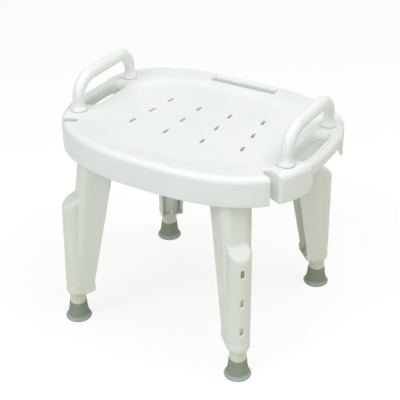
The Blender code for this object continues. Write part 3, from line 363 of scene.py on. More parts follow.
def outline(turns, inset):
    """The seat's outline: x = a |cos t|^(2/n), y = b |sin t|^(2/n) with their signs, where n is
    smaller in front than behind, moved inwards by the inset square to itself."""
    power = 2.0 / np.where(np.sin(turns) > 0.0, SQUARENESS[1], SQUARENESS[0])
    normal_x = signed_power(np.cos(turns), 2.0 - power) / HALF_WIDTH
    normal_y = signed_power(np.sin(turns), 2.0 - power) / HALF_DEPTH
    length = np.hypot(normal_x, normal_y)
    x = HALF_WIDTH * signed_power(np.cos(turns), power) - inset * normal_x / length
    y = HALF_DEPTH * signed_power(np.sin(turns), power) - inset * normal_y / length
    return x, y


def outline_x(y):
    """Half the seat's width at y: a (1 - |y / b|^n)^(1/n)."""
    square = np.where(y > 0.0, SQUARENESS[1], SQUARENESS[0])
    return HALF_WIDTH * np.clip(1.0 - np.abs(y / HALF_DEPTH) ** square, 0.0, 1.0) ** (1.0 / square)


def pan_ring(spec, turns, lower):
    """One ring of the pan: a superellipse that reaches further to the front than to the rear,
    at a height that blends between the front, the sides and the rear."""
    half_width, front, rear, square, front_drop, side_drop, rear_drop = spec
    x = half_width * signed_power(np.cos(turns), 2.0 / square)
    y = (rear - front) / 2.0 + (rear + front) / 2.0 * signed_power(np.sin(turns), 2.0 / square)
    to_rear = smooth_step((np.sin(turns) - RIM_BLEND[0]) / RIM_BLEND[1])
    to_front = smooth_step((-np.sin(turns) - RIM_BLEND[0]) / RIM_BLEND[1])
    drop = side_drop + (front_drop - side_drop) * to_front + (rear_drop - side_drop) * to_rear
    return grid(x, y, TOP - drop - lower)


def between(rings, counts):
    """Rows on the straight lines from each ring to the next, so many of them for each step."""
    rows = [a + (b - a) * (np.arange(n) / n)[:, None, None] for a, b, n in zip(rings, rings[1:], counts)]
    return np.concatenate(rows)


def seat_surface(offset, sides, arc_steps):
    """The seat's outer form, or with an offset the form of the hollow under it. Its rings run
    out over the pan, where each row is drawn towards the mean of its neighbours, over the rim's
    quarter circle, whose radius shrinks to the rear, and down the skirt."""
    turns = turns_of(sides)
    to_rear = smooth_step((np.sin(turns) - RIM_BLEND[0]) / RIM_BLEND[1])
    rim = np.maximum(mix(RIM_ROUND, to_rear) - offset, LEAST_ROUND)
    arc = quarter(arc_steps)[:, None]
    down, inwards = round_off(rim, arc)
    rim_rows = grid(*outline(turns, offset + inwards), TOP - offset - down)
    rings = [pan_ring(spec, turns, offset) for spec in (PAN_FLOOR, PAN_EDGE, SLOPE_FOOT, SLOPE_HEAD)]
    slope = between([*rings, rim_rows[0]], PAN_ROWS)
    middle = np.array([0.0, (PAN_FLOOR[2] - PAN_FLOOR[1]) / 2.0, PAN_LOW - offset])
    share = np.linspace(0.1, 1.0, 10)[:-1, None, None]
    inner = middle + (rings[0] - middle) * share * (1.0, 1.0, 0.0)
    inner[..., 2] += PAN_SAG * share[..., 0] ** 2
    rows = np.concatenate([inner, slope, rim_rows])
    for _ in range(PAN_EASE):
        reach = slice(4, len(inner) + len(slope) + 2)
        before, after = slice(reach.start - 1, reach.stop - 1), slice(reach.start + 1, reach.stop + 1)
        rows[reach] = (rows[before] + 2.0 * rows[reach] + rows[after]) / 4.0
    if offset:
        skirt = grid(*outline(turns, offset), np.array([[SKIRT_LOW - THROUGH]]))
    else:
        inwards, up = round_off(SKIRT_LIP, quarter(4))
        inset = np.append(np.zeros(len(SKIRT_ROWS)), inwards)[:, None]
        height = np.append(TOP - np.array(SKIRT_ROWS), SKIRT_LOW + up)[:, None]
        skirt = grid(*outline(turns, inset), height)
    return closed(np.concatenate([rows, skirt]), start=middle)


def above_rim_too(rows):
    """A closed surface whose last ring is repeated above the rim, so that it cuts through."""
    return closed(np.concatenate([rows, rows[-1:] * (1.0, 1.0, 0.0) + (0.0, 0.0, TOP + THROUGH)]))


def opening_surface(grow):
    """What a side opening takes out of the seat. Across, it is square outside with two round
    corners inside; upwards its front foot is a quarter circle, its rear end a slope, and its
    top edge opens as a quarter circle, r (1 - cos a) wide at r (1 - sin a) below the rim."""
    ledge = TOP - OPENING_LEDGE
    wedge_top = TOP - OPENING_WEDGE_HIGH[0]
    heel = SKIRT_LOW + OPENING_HEEL * np.linspace(0.0, 1.0, 9)
    low = np.concatenate([[SKIRT_LOW - 2.0 * THROUGH], heel, [wedge_top, ledge]])
    flare, drop = round_off(OPENING_ROUND, np.radians(np.linspace(0.0, 84.0, 14)))
    z = np.concatenate([low, [ledge + OPENING_LEDGE_WIDTH / 2.0], TOP - drop])
    flare = np.append(np.zeros(len(z) - len(flare)), flare)
    step = OPENING_LEDGE_WIDTH * (np.arange(len(z)) < len(low))
    grown = grow + flare
    end_grow = flare * (1.0 - OPENING_END_FLARE)
    above = np.maximum(z - SKIRT_LOW, 0.0)
    under_heel = np.maximum(OPENING_HEEL - above, 0.0)
    front = OPENING_FRONT - OPENING_HEEL + np.sqrt(OPENING_HEEL ** 2 - under_heel ** 2) - grown + end_grow
    low_rear = mix((OPENING_WEDGE_LOW, OPENING_WEDGE_HIGH[1]), above / (wedge_top - SKIRT_LOW))
    share = np.clip((z - wedge_top) / (OPENING_WEDGE_HIGH[0] - OPENING_ROUND), 0.0, 1.0)
    high_rear = mix((OPENING_WEDGE_HIGH[1], OPENING_REAR), share)
    rear = np.where(z < wedge_top, low_rear, high_rear) + grown
    inner = OPENING_INNER + step - grown
    z, front, rear, inner, corner = (v[:, None] for v in (z, front, rear, inner, OPENING_CORNER + grown))
    outer = np.full_like(z, HALF_WIDTH + THROUGH)
    by_cos, by_sin = round_off(corner, quarter(12))
    x = np.concatenate([outer, inner + by_sin, inner + by_cos, outer], axis=1)
    y = np.concatenate([front, front + by_cos, rear - by_sin, rear], axis=1)
    return above_rim_too(grid(x, y, z))


def notch_surface(grow):
    """What a hose notch takes out. Along its axis it has a half circle at its inner end,
    straight sides, and a mouth whose two corners are arcs that meet the seat's edge, which lies
    aslant there; its top edge opens as a quarter circle."""
    turn = np.radians(NOTCH_ANGLE)
    search = np.arange(0.0, HALF_WIDTH, NOTCH_SEARCH)
    inside = NOTCH_TIP[0] + search * np.cos(turn) < outline_x(NOTCH_TIP[1] + search * np.sin(turn))
    reach = search[np.argmin(inside)]
    edge_y = NOTCH_TIP[1] + reach * np.sin(turn)
    widening = outline_x(edge_y + NOTCH_SEARCH) - outline_x(edge_y - NOTCH_SEARCH)
    slant = turn + np.arctan2(widening, 2.0 * NOTCH_SEARCH)
    half = NOTCH_WIDTH / 2.0
    wider, drop = round_off(NOTCH_ROUND, np.radians(np.linspace(0.0, 82.0, 9)))
    z = np.append(SKIRT_LOW - 2.0 * THROUGH, TOP - drop)[:, None]
    grown = grow + np.append(0.0, wider)[:, None]
    sides = []
    for side, full_round in zip((1.0, -1.0), NOTCH_MOUTH_ROUNDS):
        mouth = np.maximum(full_round - grown, LEAST_ROUND)
        across = half + full_round
        along = reach + side * across * np.tan(slant) - full_round / np.cos(slant)
        turns = np.linspace(0.0, np.pi / 2.0 - side * slant, 10)
        side_along = along + mouth * np.sin(turns)
        side_across = across - mouth * np.cos(turns)
        side_along = np.concatenate([side_along, side_along[:, -1:] + 3.0 * THROUGH], axis=1)
        side_across = side * np.concatenate([side_across, side_across[:, -1:]], axis=1)
        sides.append((side_along, side_across))
    share = np.linspace(-0.5, 0.5, 25) * np.pi
    end_along, end_across = half - (half + grown) * np.cos(share), -(half + grown) * np.sin(share)
    along = np.concatenate([sides[0][0][:, ::-1], end_along, sides[1][0]], axis=1)
    across = np.concatenate([sides[0][1][:, ::-1], end_across, sides[1][1]], axis=1)
    x = NOTCH_TIP[0] + along * np.cos(turn) - across * np.sin(turn)
    y = NOTCH_TIP[1] + along * np.sin(turn) + across * np.cos(turn)
    return above_rim_too(grid(x, y, z))


def hand_slot_surface(grow, low, rounds, behind=0.0):
    """The hand slot: a rectangle with quarter circles for corners, whose ends are then slanted
    by moving x in proportion to y. Its top edge opens as a quarter circle, r (1 - cos a) wide
    at r (1 - sin a) below the rim, which is small in front and large behind, for the grip."""
    rise = np.radians(np.linspace(0.0, 80.0, 15 if rounds[1] else 1))
    wider, drop = round_off(rounds[1], rise)
    z = TOP - drop
    lift = np.clip(1.0 + (z - TOP) / rounds[0], 0.0, 0.985) if rounds[0] else 0.0 * z
    grown = rounds[0] * (1.0 - np.sqrt(1.0 - lift ** 2))
    further = behind + wider - grown
    z = np.concatenate([[low], z, [TOP + THROUGH]])[:, None]
    grown = grow + np.concatenate([[0.0], grown, grown[-1:]])[:, None]
    further = np.concatenate([[behind], further, further[-1:]])[:, None]
    turns = np.concatenate([np.linspace(k, k + 1.0, 6) for k in range(4)]) * np.pi / 2.0
    corner_x = np.repeat([1.0, -1.0, -1.0, 1.0], 6)
    corner_y = np.repeat([1.0, 1.0, -1.0, -1.0], 6)
    depth = (HAND_SLOT_Y[1] - HAND_SLOT_Y[0]) / 2.0
    corner = HAND_SLOT_CORNER + grown
    v = corner_y * (depth - HAND_SLOT_CORNER) + corner * np.sin(turns)
    u = corner_x * (HAND_SLOT_HALF - HAND_SLOT_CORNER) + corner * np.cos(turns)
    u += corner_x * HAND_SLOT_SLANT * (0.5 - 0.5 * v / depth)
    v += further * (corner_y > 0.0)
    return closed(grid(u, sum(HAND_SLOT_Y) / 2.0 + v, z))


def drain_surfaces(grow, low, top_round):
    """The drain slots: oblongs whose radius opens as a quarter circle at the pan, turned about
    a point behind the seat."""
    wider, drop = round_off(top_round, np.radians(np.linspace(0.0, 86.0, 8 if top_round else 1)))
    z = np.concatenate([[PAN_LOW - low], PAN_LOW - drop, [PAN_LOW + DRAIN_ABOVE]])[:, None]
    radius = DRAIN_WIDTH / 2.0 + grow + np.concatenate([[0.0], wider, wider[-1:]])[:, None]
    u, v = oblong(radius, DRAIN_LENGTH - DRAIN_WIDTH, 28)
    slots = []
    for reach, cos, sin in DRAINS:
        x = u * cos - (v - reach) * sin
        y = DRAIN_CENTRE_Y + u * sin + (v - reach) * cos
        slots.append(closed(grid(x, y, z)))
    return slots


def mark_slots(mesh):
    """A painted shade for the walls of the drain slots, which the photo shows as dark olive: an
    attribute that rises from 0 a millimetre below the pan to 1 at 2.5 mm, for the points within
    a slot's outline grown by its round edge."""
    points = np.empty(len(mesh.vertices) * 3, dtype=np.float32)
    mesh.vertices.foreach_get("co", points)
    x, y, z = points.reshape(-1, 3).T
    depth = PAN_LOW - z
    inside = np.zeros(len(x), dtype=bool)
    for reach, cos, sin in DRAINS:
        u = x * cos + (y - DRAIN_CENTRE_Y) * sin
        v = reach - x * sin + (y - DRAIN_CENTRE_Y) * cos
        past = np.maximum(np.abs(v) - (DRAIN_LENGTH - DRAIN_WIDTH) / 2.0, 0.0)
        inside |= np.hypot(u, past) < DRAIN_WIDTH / 2.0 + DRAIN_ROUND
    shade = inside * smooth_step((depth - SLOT_SHADE_START) / SLOT_SHADE_BLEND)
    marks = mesh.attributes.new("slot_shade", "FLOAT", "POINT")
    marks.data.foreach_set("value", shade.astype(np.float32))
    return mesh


def rail_surface():
    """The grip rail: superellipse sections that stand across y. Away from the middle, away^4
    moves their outer edge and bottom, away^3 their top and away^5 their inner edge out to the
    blocks, and away^4 squares them."""
    middle, reach = sum(HANDLE_Y) / 2.0, (HANDLE_Y[1] - HANDLE_Y[0]) / 2.0 - SPIGOT_RADIUS
    along = np.linspace(-1.0, 1.0, 61)[:, None]
    y, away = middle + along * reach, np.abs(along)
    outer = outline_x(y) - mix(RAIL_INSET, away ** 4)
    inner = mix(RAIL_INNER, away ** 5)
    top = TOP - mix(RAIL_TOP_DROP, away ** 3)
    bottom = TOP - mix(RAIL_BOTTOM_DROP, away ** 4)
    power = 2.0 / mix(RAIL_SQUARENESS, away ** 4)
    turns = turns_of(48)
    x = (outer + inner) / 2.0 + (outer - inner) / 2.0 * signed_power(np.cos(turns), power)
    z = (top + bottom) / 2.0 + (top - bottom) / 2.0 * signed_power(np.sin(turns), power)
    return closed(grid(x, y, z))


def leg_placed(points, side_x, side_y):
    """Points of an upright leg, x outwards along its diagonal, leaned in by the shear
    x - lean z and turned and moved to its corner."""
    x = points[..., 0] - LEG_LEAN * points[..., 2]
    turn = np.arctan2(side_y, side_x)
    return grid(
        side_x * FOOT_X + x * np.cos(turn) - points[..., 1] * np.sin(turn),
        side_y * FOOT_Y + x * np.sin(turn) + points[..., 1] * np.cos(turn), points[..., 2])


def over(tree, mask, below, above):
    """One colour laid over another by a mask: the mixed colour's socket."""
    return add_node(tree, "Mix", {0: mask, 6: below, 7: above}, data_type="RGBA").outputs[2]


def ramp(tree, value, side, ends):
    """A value moved in proportion: "From" two ends to 0 and 1, or from 0 and 1 "To" two ends."""
    ends = {f"{side} Min": ends[0], f"{side} Max": ends[1]}
    return add_node(tree, "MapRange", {"Value": value, **ends}).outputs[0]


def noise(tree, place, scale, detail):
    """Soft noise at a place, from 0 to 1."""
    return add_node(tree, "TexNoise", {"Vector": place, "Scale": scale, "Detail": detail}).outputs[0]


def position_of(tree):
    """Object coordinates, which are the piece's own place in metres."""
    return add_node(tree, "TexCoord").outputs["Object"]


def new_group(name, inputs, outputs):
    """A shader node group with named sockets: its tree, its inputs and what it puts out."""
    group = bpy.data.node_groups.new(name, "ShaderNodeTree")
    for label, kind, value in inputs:
        socket = group.interface.new_socket(label, in_out="INPUT", socket_type=f"NodeSocket{kind}")
        socket.default_value = value
    for label, kind in outputs:
        group.interface.new_socket(label, in_out="OUTPUT", socket_type=f"NodeSocket{kind}")
    return group, group.nodes.new("NodeGroupInput").outputs, group.nodes.new("NodeGroupOutput").inputs


# Grain: the fine texture of the mould's steel with a slow waviness of the cooling plastic
grain_group, given, put_out = new_group(
    "surface_grain",
    [("Position", "Vector", (0, 0, 0)), ("Scale", "Float", 900.0), ("Waviness", "Float", 0.3)],
    [("Height", "Float")])
fine = noise(grain_group, given["Position"], given["Scale"], 3.0)
slow = noise(grain_group, given["Position"], 22.0, 1.0)
wave = math_node(grain_group, "MULTIPLY", slow, given["Waviness"])
grain_group.links.new(math_node(grain_group, "ADD", fine, wave), put_out["Height"])

# Tone: a slow drift between two shades, and a mask of it for the gloss
tone_group, given, put_out = new_group(
    "tone_drift",
    [("Position", "Vector", (0, 0, 0)), ("Shade", "Color", WHITE), ("Drift Shade", "Color", WHITE),
     ("Scale", "Float", 9.0)],
    [("Color", "Color"), ("Mask", "Float")])
mask = ramp(tone_group, noise(tone_group, given["Position"], given["Scale"], 4.0), "From", (0.35, 0.65))
tone_group.links.new(over(tone_group, mask, given["Shade"], given["Drift Shade"]), put_out["Color"])
tone_group.links.new(mask, put_out["Mask"])

# Edges: the small radius that a mould leaves on each edge, and a mask of where it lies
edge_group, given, put_out = new_group(
    "edge_round", [("Radius", "Float", 0.001)], [("Normal", "Vector"), ("Mask", "Float")])
bevel = add_node(edge_group, "Bevel", {"Radius": given["Radius"]}, samples=6)
flat = add_node(edge_group, "NewGeometry").outputs["Normal"]
match = add_node(edge_group, "VectorMath", {0: bevel.outputs[0], 1: flat}, operation="DOT_PRODUCT")
edge_group.links.new(bevel.outputs[0], put_out["Normal"])
edge_group.links.new(ramp(edge_group, match.outputs["Value"], "From", (0.995, 0.90)), put_out["Mask"])


def moulded_finish(name, shades, edge_shade, roughness, edge_radius, grain, bump, specular=0.5,
                   painted_light_below=None, slot_shade=None):
    """Moulded plastic or rubber: drifting tone, rounded and slightly worn edges, and grain. A
    painted light is a height in metres and the lighter colour painted below it as a highlight,
    and slot_shade the colour of a painted shade on the points that the mesh's attribute of that name
    marks."""
    material, tree = new_finish(name)
    place = position_of(tree)
    tones = {"Shade": (*shades[0], 1.0), "Drift Shade": (*shades[1], 1.0)}
    tone = add_node(tree, "Group", {"Position": place, **tones}, node_tree=tone_group)
    edge = add_node(tree, "Group", {"Radius": edge_radius}, node_tree=edge_group)
    grains = {"Scale": grain[0], "Waviness": grain[1]}
    texture = add_node(tree, "Group", {"Position": place, **grains}, node_tree=grain_group)
    colour = over(tree, edge.outputs["Mask"], tone.outputs["Color"], (*edge_shade, 1.0))
    # Painted light: a lighter colour below a height on the piece.
    if painted_light_below:
        level = add_node(tree, "SeparateXYZ", {0: place}).outputs["Z"]
        low = ramp(tree, level, "From", (painted_light_below[0], painted_light_below[0] - PAINTED_LIGHT_BLEND))
        colour = over(tree, low, colour, (*painted_light_below[1], 1.0))
    if slot_shade:
        marked = add_node(tree, "Attribute", attribute_name="slot_shade")
        colour = over(tree, marked.outputs["Fac"], colour, (*slot_shade, 1.0))
    gloss = ramp(tree, tone.outputs["Mask"], "To", roughness)
    raised = add_node(tree, "Bump", {
        "Height": texture.outputs["Height"], "Normal": edge.outputs["Normal"],
        "Strength": bump[0], "Distance": bump[1]})
    shader = add_node(tree, "BsdfPrincipled", {
        "Base Color": colour, "Roughness": gloss, "Normal": raised.outputs[0],
        "Specular IOR Level": specular})
    add_node(tree, "OutputMaterial", {"Surface": shader.outputs[0]})
    return material


seat_plastic = moulded_finish(
    "white_seat_plastic", ((0.83, 0.845, 0.83), (0.80, 0.82, 0.80)), (0.86, 0.87, 0.86),
    (0.36, 0.46), 0.0022, (700.0, 0.4), (0.25, 0.0002),
    slot_shade=(0.46, 0.45, 0.25))

# The hollow under the seat leaves ribs, sockets, beds and walls standing
rib_low = TOP - PAN_FLOOR[4] - SHELL - RIB_DEPTH
above_rim = TOP + THROUGH
rib_x, half = OPENING_INNER - SHELL / 2.0, RIB_THICKNESS / 2.0
across = [box_surface((-rib_x, y - half, rib_low), (rib_x, y + half, above_rim)) for y in RIB_ROWS]
lengthways = [
    box_surface((x - half, -HALF_DEPTH, rib_low), (x + half, HALF_DEPTH, above_rim)) for x in RIB_COLUMNS]
socket_low = TOP - SOCKET_DEPTH - SOCKET_FLOOR
places = [(HANDLE_X, y) for y in HANDLE_Y]
sockets = [rod(SPIGOT_RADIUS + GAP + SOCKET_WALL, socket_low, above_rim, 48, place) for place in places]
pads = [rod(PAD[0], TOP - PAD[2], TOP + PAD[1], 48, place) for place in places]
bores = [rod(SPIGOT_RADIUS + GAP, TOP - SOCKET_DEPTH, above_rim, 48, place) for place in places]
screw_holes = [rod(HANDLE_SCREW[0] + GAP, socket_low - THROUGH, above_rim, 24, place) for place in places]

# The leg channel's sizes at its bottom and top, which its bed in the seat needs too
NOSE_DEPTH, NOSE_HALF, NOSE_CORNER = (-0.0196, 0.0195), (0.0213, 0.0309), (0.0190, 0.0150)
FLANGE_END_DEPTH, FLANGE_END_HALF, FLANGE_LIP_FLARE = (0.0258, 0.0798), (0.0219, 0.0366), 0.0025


def channel_plan(inset, height):
    """The channel's outline across at its top: a rounded nose and flanges that spread."""
    by_cos, by_sin = round_off(NOSE_CORNER[1] - inset, quarter(9))
    depth = np.append(NOSE_DEPTH[1] + inset + by_cos, FLANGE_END_DEPTH[1])
    across = np.append(NOSE_HALF[1] - inset - by_sin, FLANGE_END_HALF[1] - inset + FLANGE_LIP_FLARE)
    return grid(-np.concatenate([depth, depth[::-1]]), np.concatenate([across, -across[::-1]]), height)


plan = channel_plan(LEG_TOP_ROUND, np.array([[LEG_TOP + GAP], [above_rim]]))
plan = plan + LEG_LEAN * (plan[..., 2:] - LEG_TOP) * (1.0, 0.0, 0.0)
beds, pilots = [], []
for side_x, side_y in CORNERS.values():
    beds.append(closed(leg_placed(plan, side_x, side_y)))
    for depth in LEG_SCREW_DEPTHS:
        centre = leg_placed(np.array([-depth, 0.0, LEG_TOP]), side_x, side_y)[:2]
        top = LEG_TOP + 2.0 * GAP + LEG_SCREW_GRIP
        pilots.append(rod(LEG_SCREW[0] + GAP, LEG_TOP - THROUGH, top, 24, centre))

core = carved(
    mesh_of(seat_surface(SHELL, 160, 5)),
    (CUT, mesh_of(*across)),
    (CUT, mesh_of(*lengthways)),
    (CUT, both_sides(*sockets)),
    (CUT, mesh_of(*beds)),
    (CUT, both_sides(opening_surface(SHELL))),
    (CUT, both_sides(notch_surface(SHELL))),
    (CUT, mesh_of(hand_slot_surface(SHELL, TOP - HAND_SLOT_COLLAR, (0.0, 0.0), HAND_SLOT_COLLAR_BEHIND))),
    (CUT, mesh_of(*drain_surfaces(DRAIN_COLLAR_WALL, DRAIN_COLLAR, 0.0))))
relief = box_surface(
    (RELIEF[0][0], OPENING_REAR, SKIRT_LOW - THROUGH),
    (RELIEF[0][1], OPENING_WEDGE_LOW + RELIEF[1], TOP - OPENING_WEDGE_HIGH[0]))
seat_mesh = carved(
    mesh_of(seat_surface(0.0, 288, 13)),
    (CUT, core),
    (CUT, both_sides(opening_surface(0.0))),
    (CUT, both_sides(notch_surface(0.0))),
    (CUT, both_sides(relief)),
    (CUT, mesh_of(hand_slot_surface(0.0, SKIRT_LOW - THROUGH, HAND_SLOT_ROUNDS))),
    (JOIN, both_sides(rail_surface())),
    (JOIN, both_sides(*pads)),
    (CUT, mesh_of(*drain_surfaces(0.0, DRAIN_COLLAR + THROUGH, DRAIN_ROUND))),
    (CUT, both_sides(*bores)),
    (CUT, both_sides(*screw_holes)),
    (CUT, mesh_of(*pilots)))
seat_mesh = mark_slots(smoothed(seat_mesh))
add_piece("moulded_seat", seat_mesh, seat_plastic, "seat_frame", "seat")

# The two grab handles are staples of moulded plastic tube, a little thicker at the grip. Each
# end has a trumpet-shaped flange that rests on the seat and a spigot that goes down into its
# socket, where a screw from beneath pulls it tight.
HANDLE_HEIGHT, HANDLE_BEND = 0.059, 0.041
HANDLE_RADII = (0.0098, 0.01195)
FLANGE_RADIUS, FLANGE_HEIGHT, FLANGE_LIP, FLANGE_NECK_STEP = 0.0156, 0.0155, 0.0022, 0.0006
SPIGOT_LENGTH, HANDLE_SCREW_GRIP, HANDLE_EDGE = 0.0215, 0.013, 0.0006

handle_plastic = moulded_finish(
    "white_handle_plastic", ((0.86, 0.87, 0.865), (0.83, 0.845, 0.83)), (0.88, 0.885, 0.88),
    (0.26, 0.34), 0.0015, (500.0, 0.6), (0.15, 0.0002))


def rounded(points, cut, steps=5):
    """A profile whose inner corners are each replaced by the curve
    (1-s)2 A + 2s(1-s) P + s2 B, where A and B lie a cut's length before and after corner P."""
    points = np.array(points, float)
    runs = np.diff(points, axis=0)
    length = np.linalg.norm(runs, axis=1)
    reach = np.minimum(cut, np.minimum(length[:-1], length[1:]) * 0.48)[:, None]
    before = points[1:-1] - runs[:-1] / length[:-1, None] * reach
    after = points[1:-1] + runs[1:] / length[1:, None] * reach
    s = np.linspace(0.0, 1.0, steps)[:, None]
    a, p, b = (v[:, None, :] for v in (before, points[1:-1], after))
    curves = (1.0 - s) ** 2 * a + 2.0 * s * (1.0 - s) * p + s ** 2 * b
    return np.concatenate([points[:1], curves.reshape(-1, 2), points[-1:]])


def handle_surface():
    """A round section carried along the handle's line: centre + r (cos a across + sin a square
    to the line). The line goes up one post, round a quarter circle and along the grip, and its
    other half mirrors this; r steps in and out for the hole, the spigot and the flange."""
    base = TOP + PAD[1] + GAP
    bottom = TOP - SPIGOT_LENGTH
    crown = TOP + HANDLE_HEIGHT
    hole = HANDLE_SCREW[0] + GAP
    inside = bottom + HANDLE_SCREW_GRIP + GAP
    share = np.linspace(1.0, 0.0, 12)
    neck = HANDLE_RADII[0] + FLANGE_NECK_STEP
    trumpet = np.stack([
        mix((neck, FLANGE_RADIUS), share ** 2), base + mix((FLANGE_HEIGHT, FLANGE_LIP), share)], axis=1)
    end = rounded([
        (0.0001, inside), (hole, inside), (hole, bottom), (SPIGOT_RADIUS, bottom), (SPIGOT_RADIUS, base),
        (FLANGE_RADIUS, base), (FLANGE_RADIUS, base + FLANGE_LIP), trumpet[1]], HANDLE_EDGE)
    end = np.concatenate([end, trumpet[2:]])
    post_z = np.linspace(base + FLANGE_HEIGHT + 0.0005, crown - HANDLE_BEND, 3)
    turn = quarter(20)[1:]
    middle = sum(HANDLE_Y) / 2.0
    straight = np.linspace(HANDLE_Y[0] + HANDLE_BEND, middle, 8)[1:]
    by_cos, by_sin = round_off(HANDLE_BEND, turn)
    upright, level = np.zeros(len(end) + len(post_z)), np.zeros(len(straight))
    y = np.concatenate([upright + HANDLE_Y[0], HANDLE_Y[0] + by_cos, straight])
    z = np.concatenate([end[:, 1], post_z, crown - by_sin, level + crown])
    along = np.concatenate([upright, turn, level + np.pi / 2.0])
    swell = smooth_step((z[len(end):] - base) / (HANDLE_HEIGHT - GAP))
    radius = np.concatenate([end[:, 0], mix(HANDLE_RADII, swell)])
    y, z, along, radius = (
        np.append(first, second[-2::-1])[:, None]
        for first, second in ((y, 2.0 * middle - y), (z, z), (along, np.pi - along), (radius, radius)))
    around = turns_of(40)
    up = radius * np.sin(around)
    return closed(grid(radius * np.cos(around), y + up * np.cos(along), z - up * np.sin(along)))


points, faces = handle_surface()
SIDES = (("left", -1.0), ("right", 1.0))
for side, sign in SIDES:
    mesh = smoothed(mesh_of((points + (sign * HANDLE_X, 0.0, 0.0), faces)), 50.0)
    add_piece(
        f"grab_handle_{side}", mesh, handle_plastic, "seat_frame", f"handle_{side}")

# Stainless pan-head screws with a cross recess hold the parts together from beneath: one goes
# up through each handle socket's floor, and two through the top plate of each leg.
SCREW_TIP, SCREW_EDGE, HEAD_SIDE = 0.6, 0.0002, 0.4
RECESS_SHARE, RECESS_WIDTH, RECESS_DEPTH = 0.62, 0.20, 0.55
# How wide the recess is at its floor, at the head's top and above it, and where that lies
RECESS_TAPER, RECESS_ABOVE = (0.45, 1.0, 1.15), 1.3


def steel_finish(name, shades, roughness):
    """Drawn steel: noise in fine lines mixes two shades and two levels of gloss."""
    finish, tree = new_finish(name)
    drawn = add_node(tree, "Mapping", {"Vector": position_of(tree), "Scale": (900.0, 900.0, 4000.0)})
    lines = noise(tree, drawn.outputs[0], 1.0, 2.0)
    gloss = ramp(tree, lines, "To", roughness)
    shine = over(tree, lines, (*shades[0], 1.0), (*shades[1], 1.0))
    raised = add_node(tree, "Bump", {"Height": lines, "Strength": 0.15, "Distance": 0.00005})
    metal = add_node(tree, "BsdfPrincipled", {
        "Base Color": shine, "Metallic": 1.0, "Roughness": gloss, "Normal": raised.outputs[0]})
    add_node(tree, "OutputMaterial", {"Surface": metal.outputs[0]})
    return finish


steel = steel_finish("stainless_steel", ((0.56, 0.56, 0.55), (0.70, 0.70, 0.69)), (0.24, 0.40))


def screw_mesh(sizes, grip, place):
    """A turned screw that points up from under its head: a plain shank with a blunt tip, and a
    domed head, cut by a cross of two tapered slots."""
    shank, head, height = sizes
    turn = quarter(8)
    dome = np.stack([head * np.cos(turn), -height * mix((HEAD_SIDE, 1.0), np.sin(turn))], axis=1)[:-1]
    profile = rounded([
        (0.0, grip), (shank * SCREW_TIP, grip), (shank, grip - shank), (shank, 0.0), (head, 0.0)],
        SCREW_EDGE, 3)
    profile = np.concatenate([profile, dome, [(0.0, -height)]])
    wide, thin = head * RECESS_SHARE, head * RECESS_WIDTH
    u = np.array([wide, wide, thin, thin, -thin, -thin, -wide, -wide, -thin, -thin, thin, thin])
    v = np.array([-thin, thin, thin, wide, wide, thin, thin, -thin, -thin, -wide, -wide, -thin])
    taper = np.array(RECESS_TAPER)[:, None]
    depth = -height * np.array([1.0 - RECESS_DEPTH, 1.0, RECESS_ABOVE])[:, None]
    recess = closed(grid(u * taper, v * taper, depth))
    mesh = carved(mesh_of(turned(profile, 40)), (CUT, mesh_of(recess)))
    mesh.transform(Matrix.Translation(place))
    return smoothed(mesh)


for side, sign in SIDES:
    for end, y in zip(("front", "back"), HANDLE_Y):
        name = f"handle_screw_{end}_{side}"
        under = (sign * HANDLE_X, y, TOP - SOCKET_DEPTH - SOCKET_FLOOR - GAP)
        mesh = screw_mesh(HANDLE_SCREW, SOCKET_FLOOR + HANDLE_SCREW_GRIP, under)
        add_piece(f"steel_{name}", mesh, steel, "seat_frame", name)

# Each leg is a tapered channel moulding that opens towards the middle of the seat, so that the
# mould can draw. A round column with a slanted shoulder grows out of its nose, takes the
# extension tube and has a row of oblong height holes with sunk rims.
LEG_WALL = 0.003
HEEL_DEPTH, FLANGE_RISE = 0.010, 0.006
FLANGE_TOE, TOE_HEIGHT, TOE_START = (0.0034, 0.0008), 0.026, 0.007
FLANGE_LIP_START, FLANGE_LIP_LENGTH = 0.300, 0.009
# The column's waist and bead: size, height above the leg's end and reach up and down
COLUMN_RADIUS, COLUMN_WAIST, COLUMN_BEAD = 0.0215, (0.0008, 0.020, 0.009), (0.0004, 0.0080, 0.0065)
# The round edge of the leg's end: how far in and how high
END_EDGE = (0.0022, 0.006)
# Rows of the leg's form, from where to where and how many: closest round the shoulder
LEG_ROWS = (
    (LEG_BOTTOM + 0.0075, 0.096, 20), (0.100, 0.237, 26), (0.240, 0.262, 14), (0.2628, 0.2836, 27),
    (0.285, 0.292, 6), (0.296, 0.374, 14))
SHOULDER_TOP, SHOULDER_SLOPE, SHOULDER_ROUND = 0.2745, np.tan(np.radians(29.0)), 0.006
COLUMN_FILLET, SHOULDER_FILLET, FILLET_START, FILLET_BLEND = 0.0025, 0.004, 0.240, 0.02
BORE_RADIUS, BORE_TOP, COLUMN_ROOT = 0.0165, 0.2520, 0.003
# The plain column stays this far inside the blended form, so that their faces never meet
COLUMN_SLACK = 0.0003
RAY_START, RAY_REACH, WEDGE_HALF = 0.012, 0.12, 0.05
# The rib that fills the heel at the column's foot, at its bottom and top
RIB_TOP, HEEL_RIB_HALF = 0.028, (0.0075, 0.0022)
HEEL_RIB_TIP, HEEL_RIB_OUT = (0.0045, 0.0015), (0.005, 0.0005)
HOLE_HEIGHTS, HOLE_WIDTH, HOLE_LENGTH = (0.2315, 0.1705, 0.1095), 0.0056, 0.0155
# A hole's sunk rim: its depth and how far it spreads, and the shares of both that its rows reach
HOLE_SINK, HOLE_SPREAD, HOLE_RISE, HOLE_REACH = 0.0021, 0.0046, 1.15, 0.98
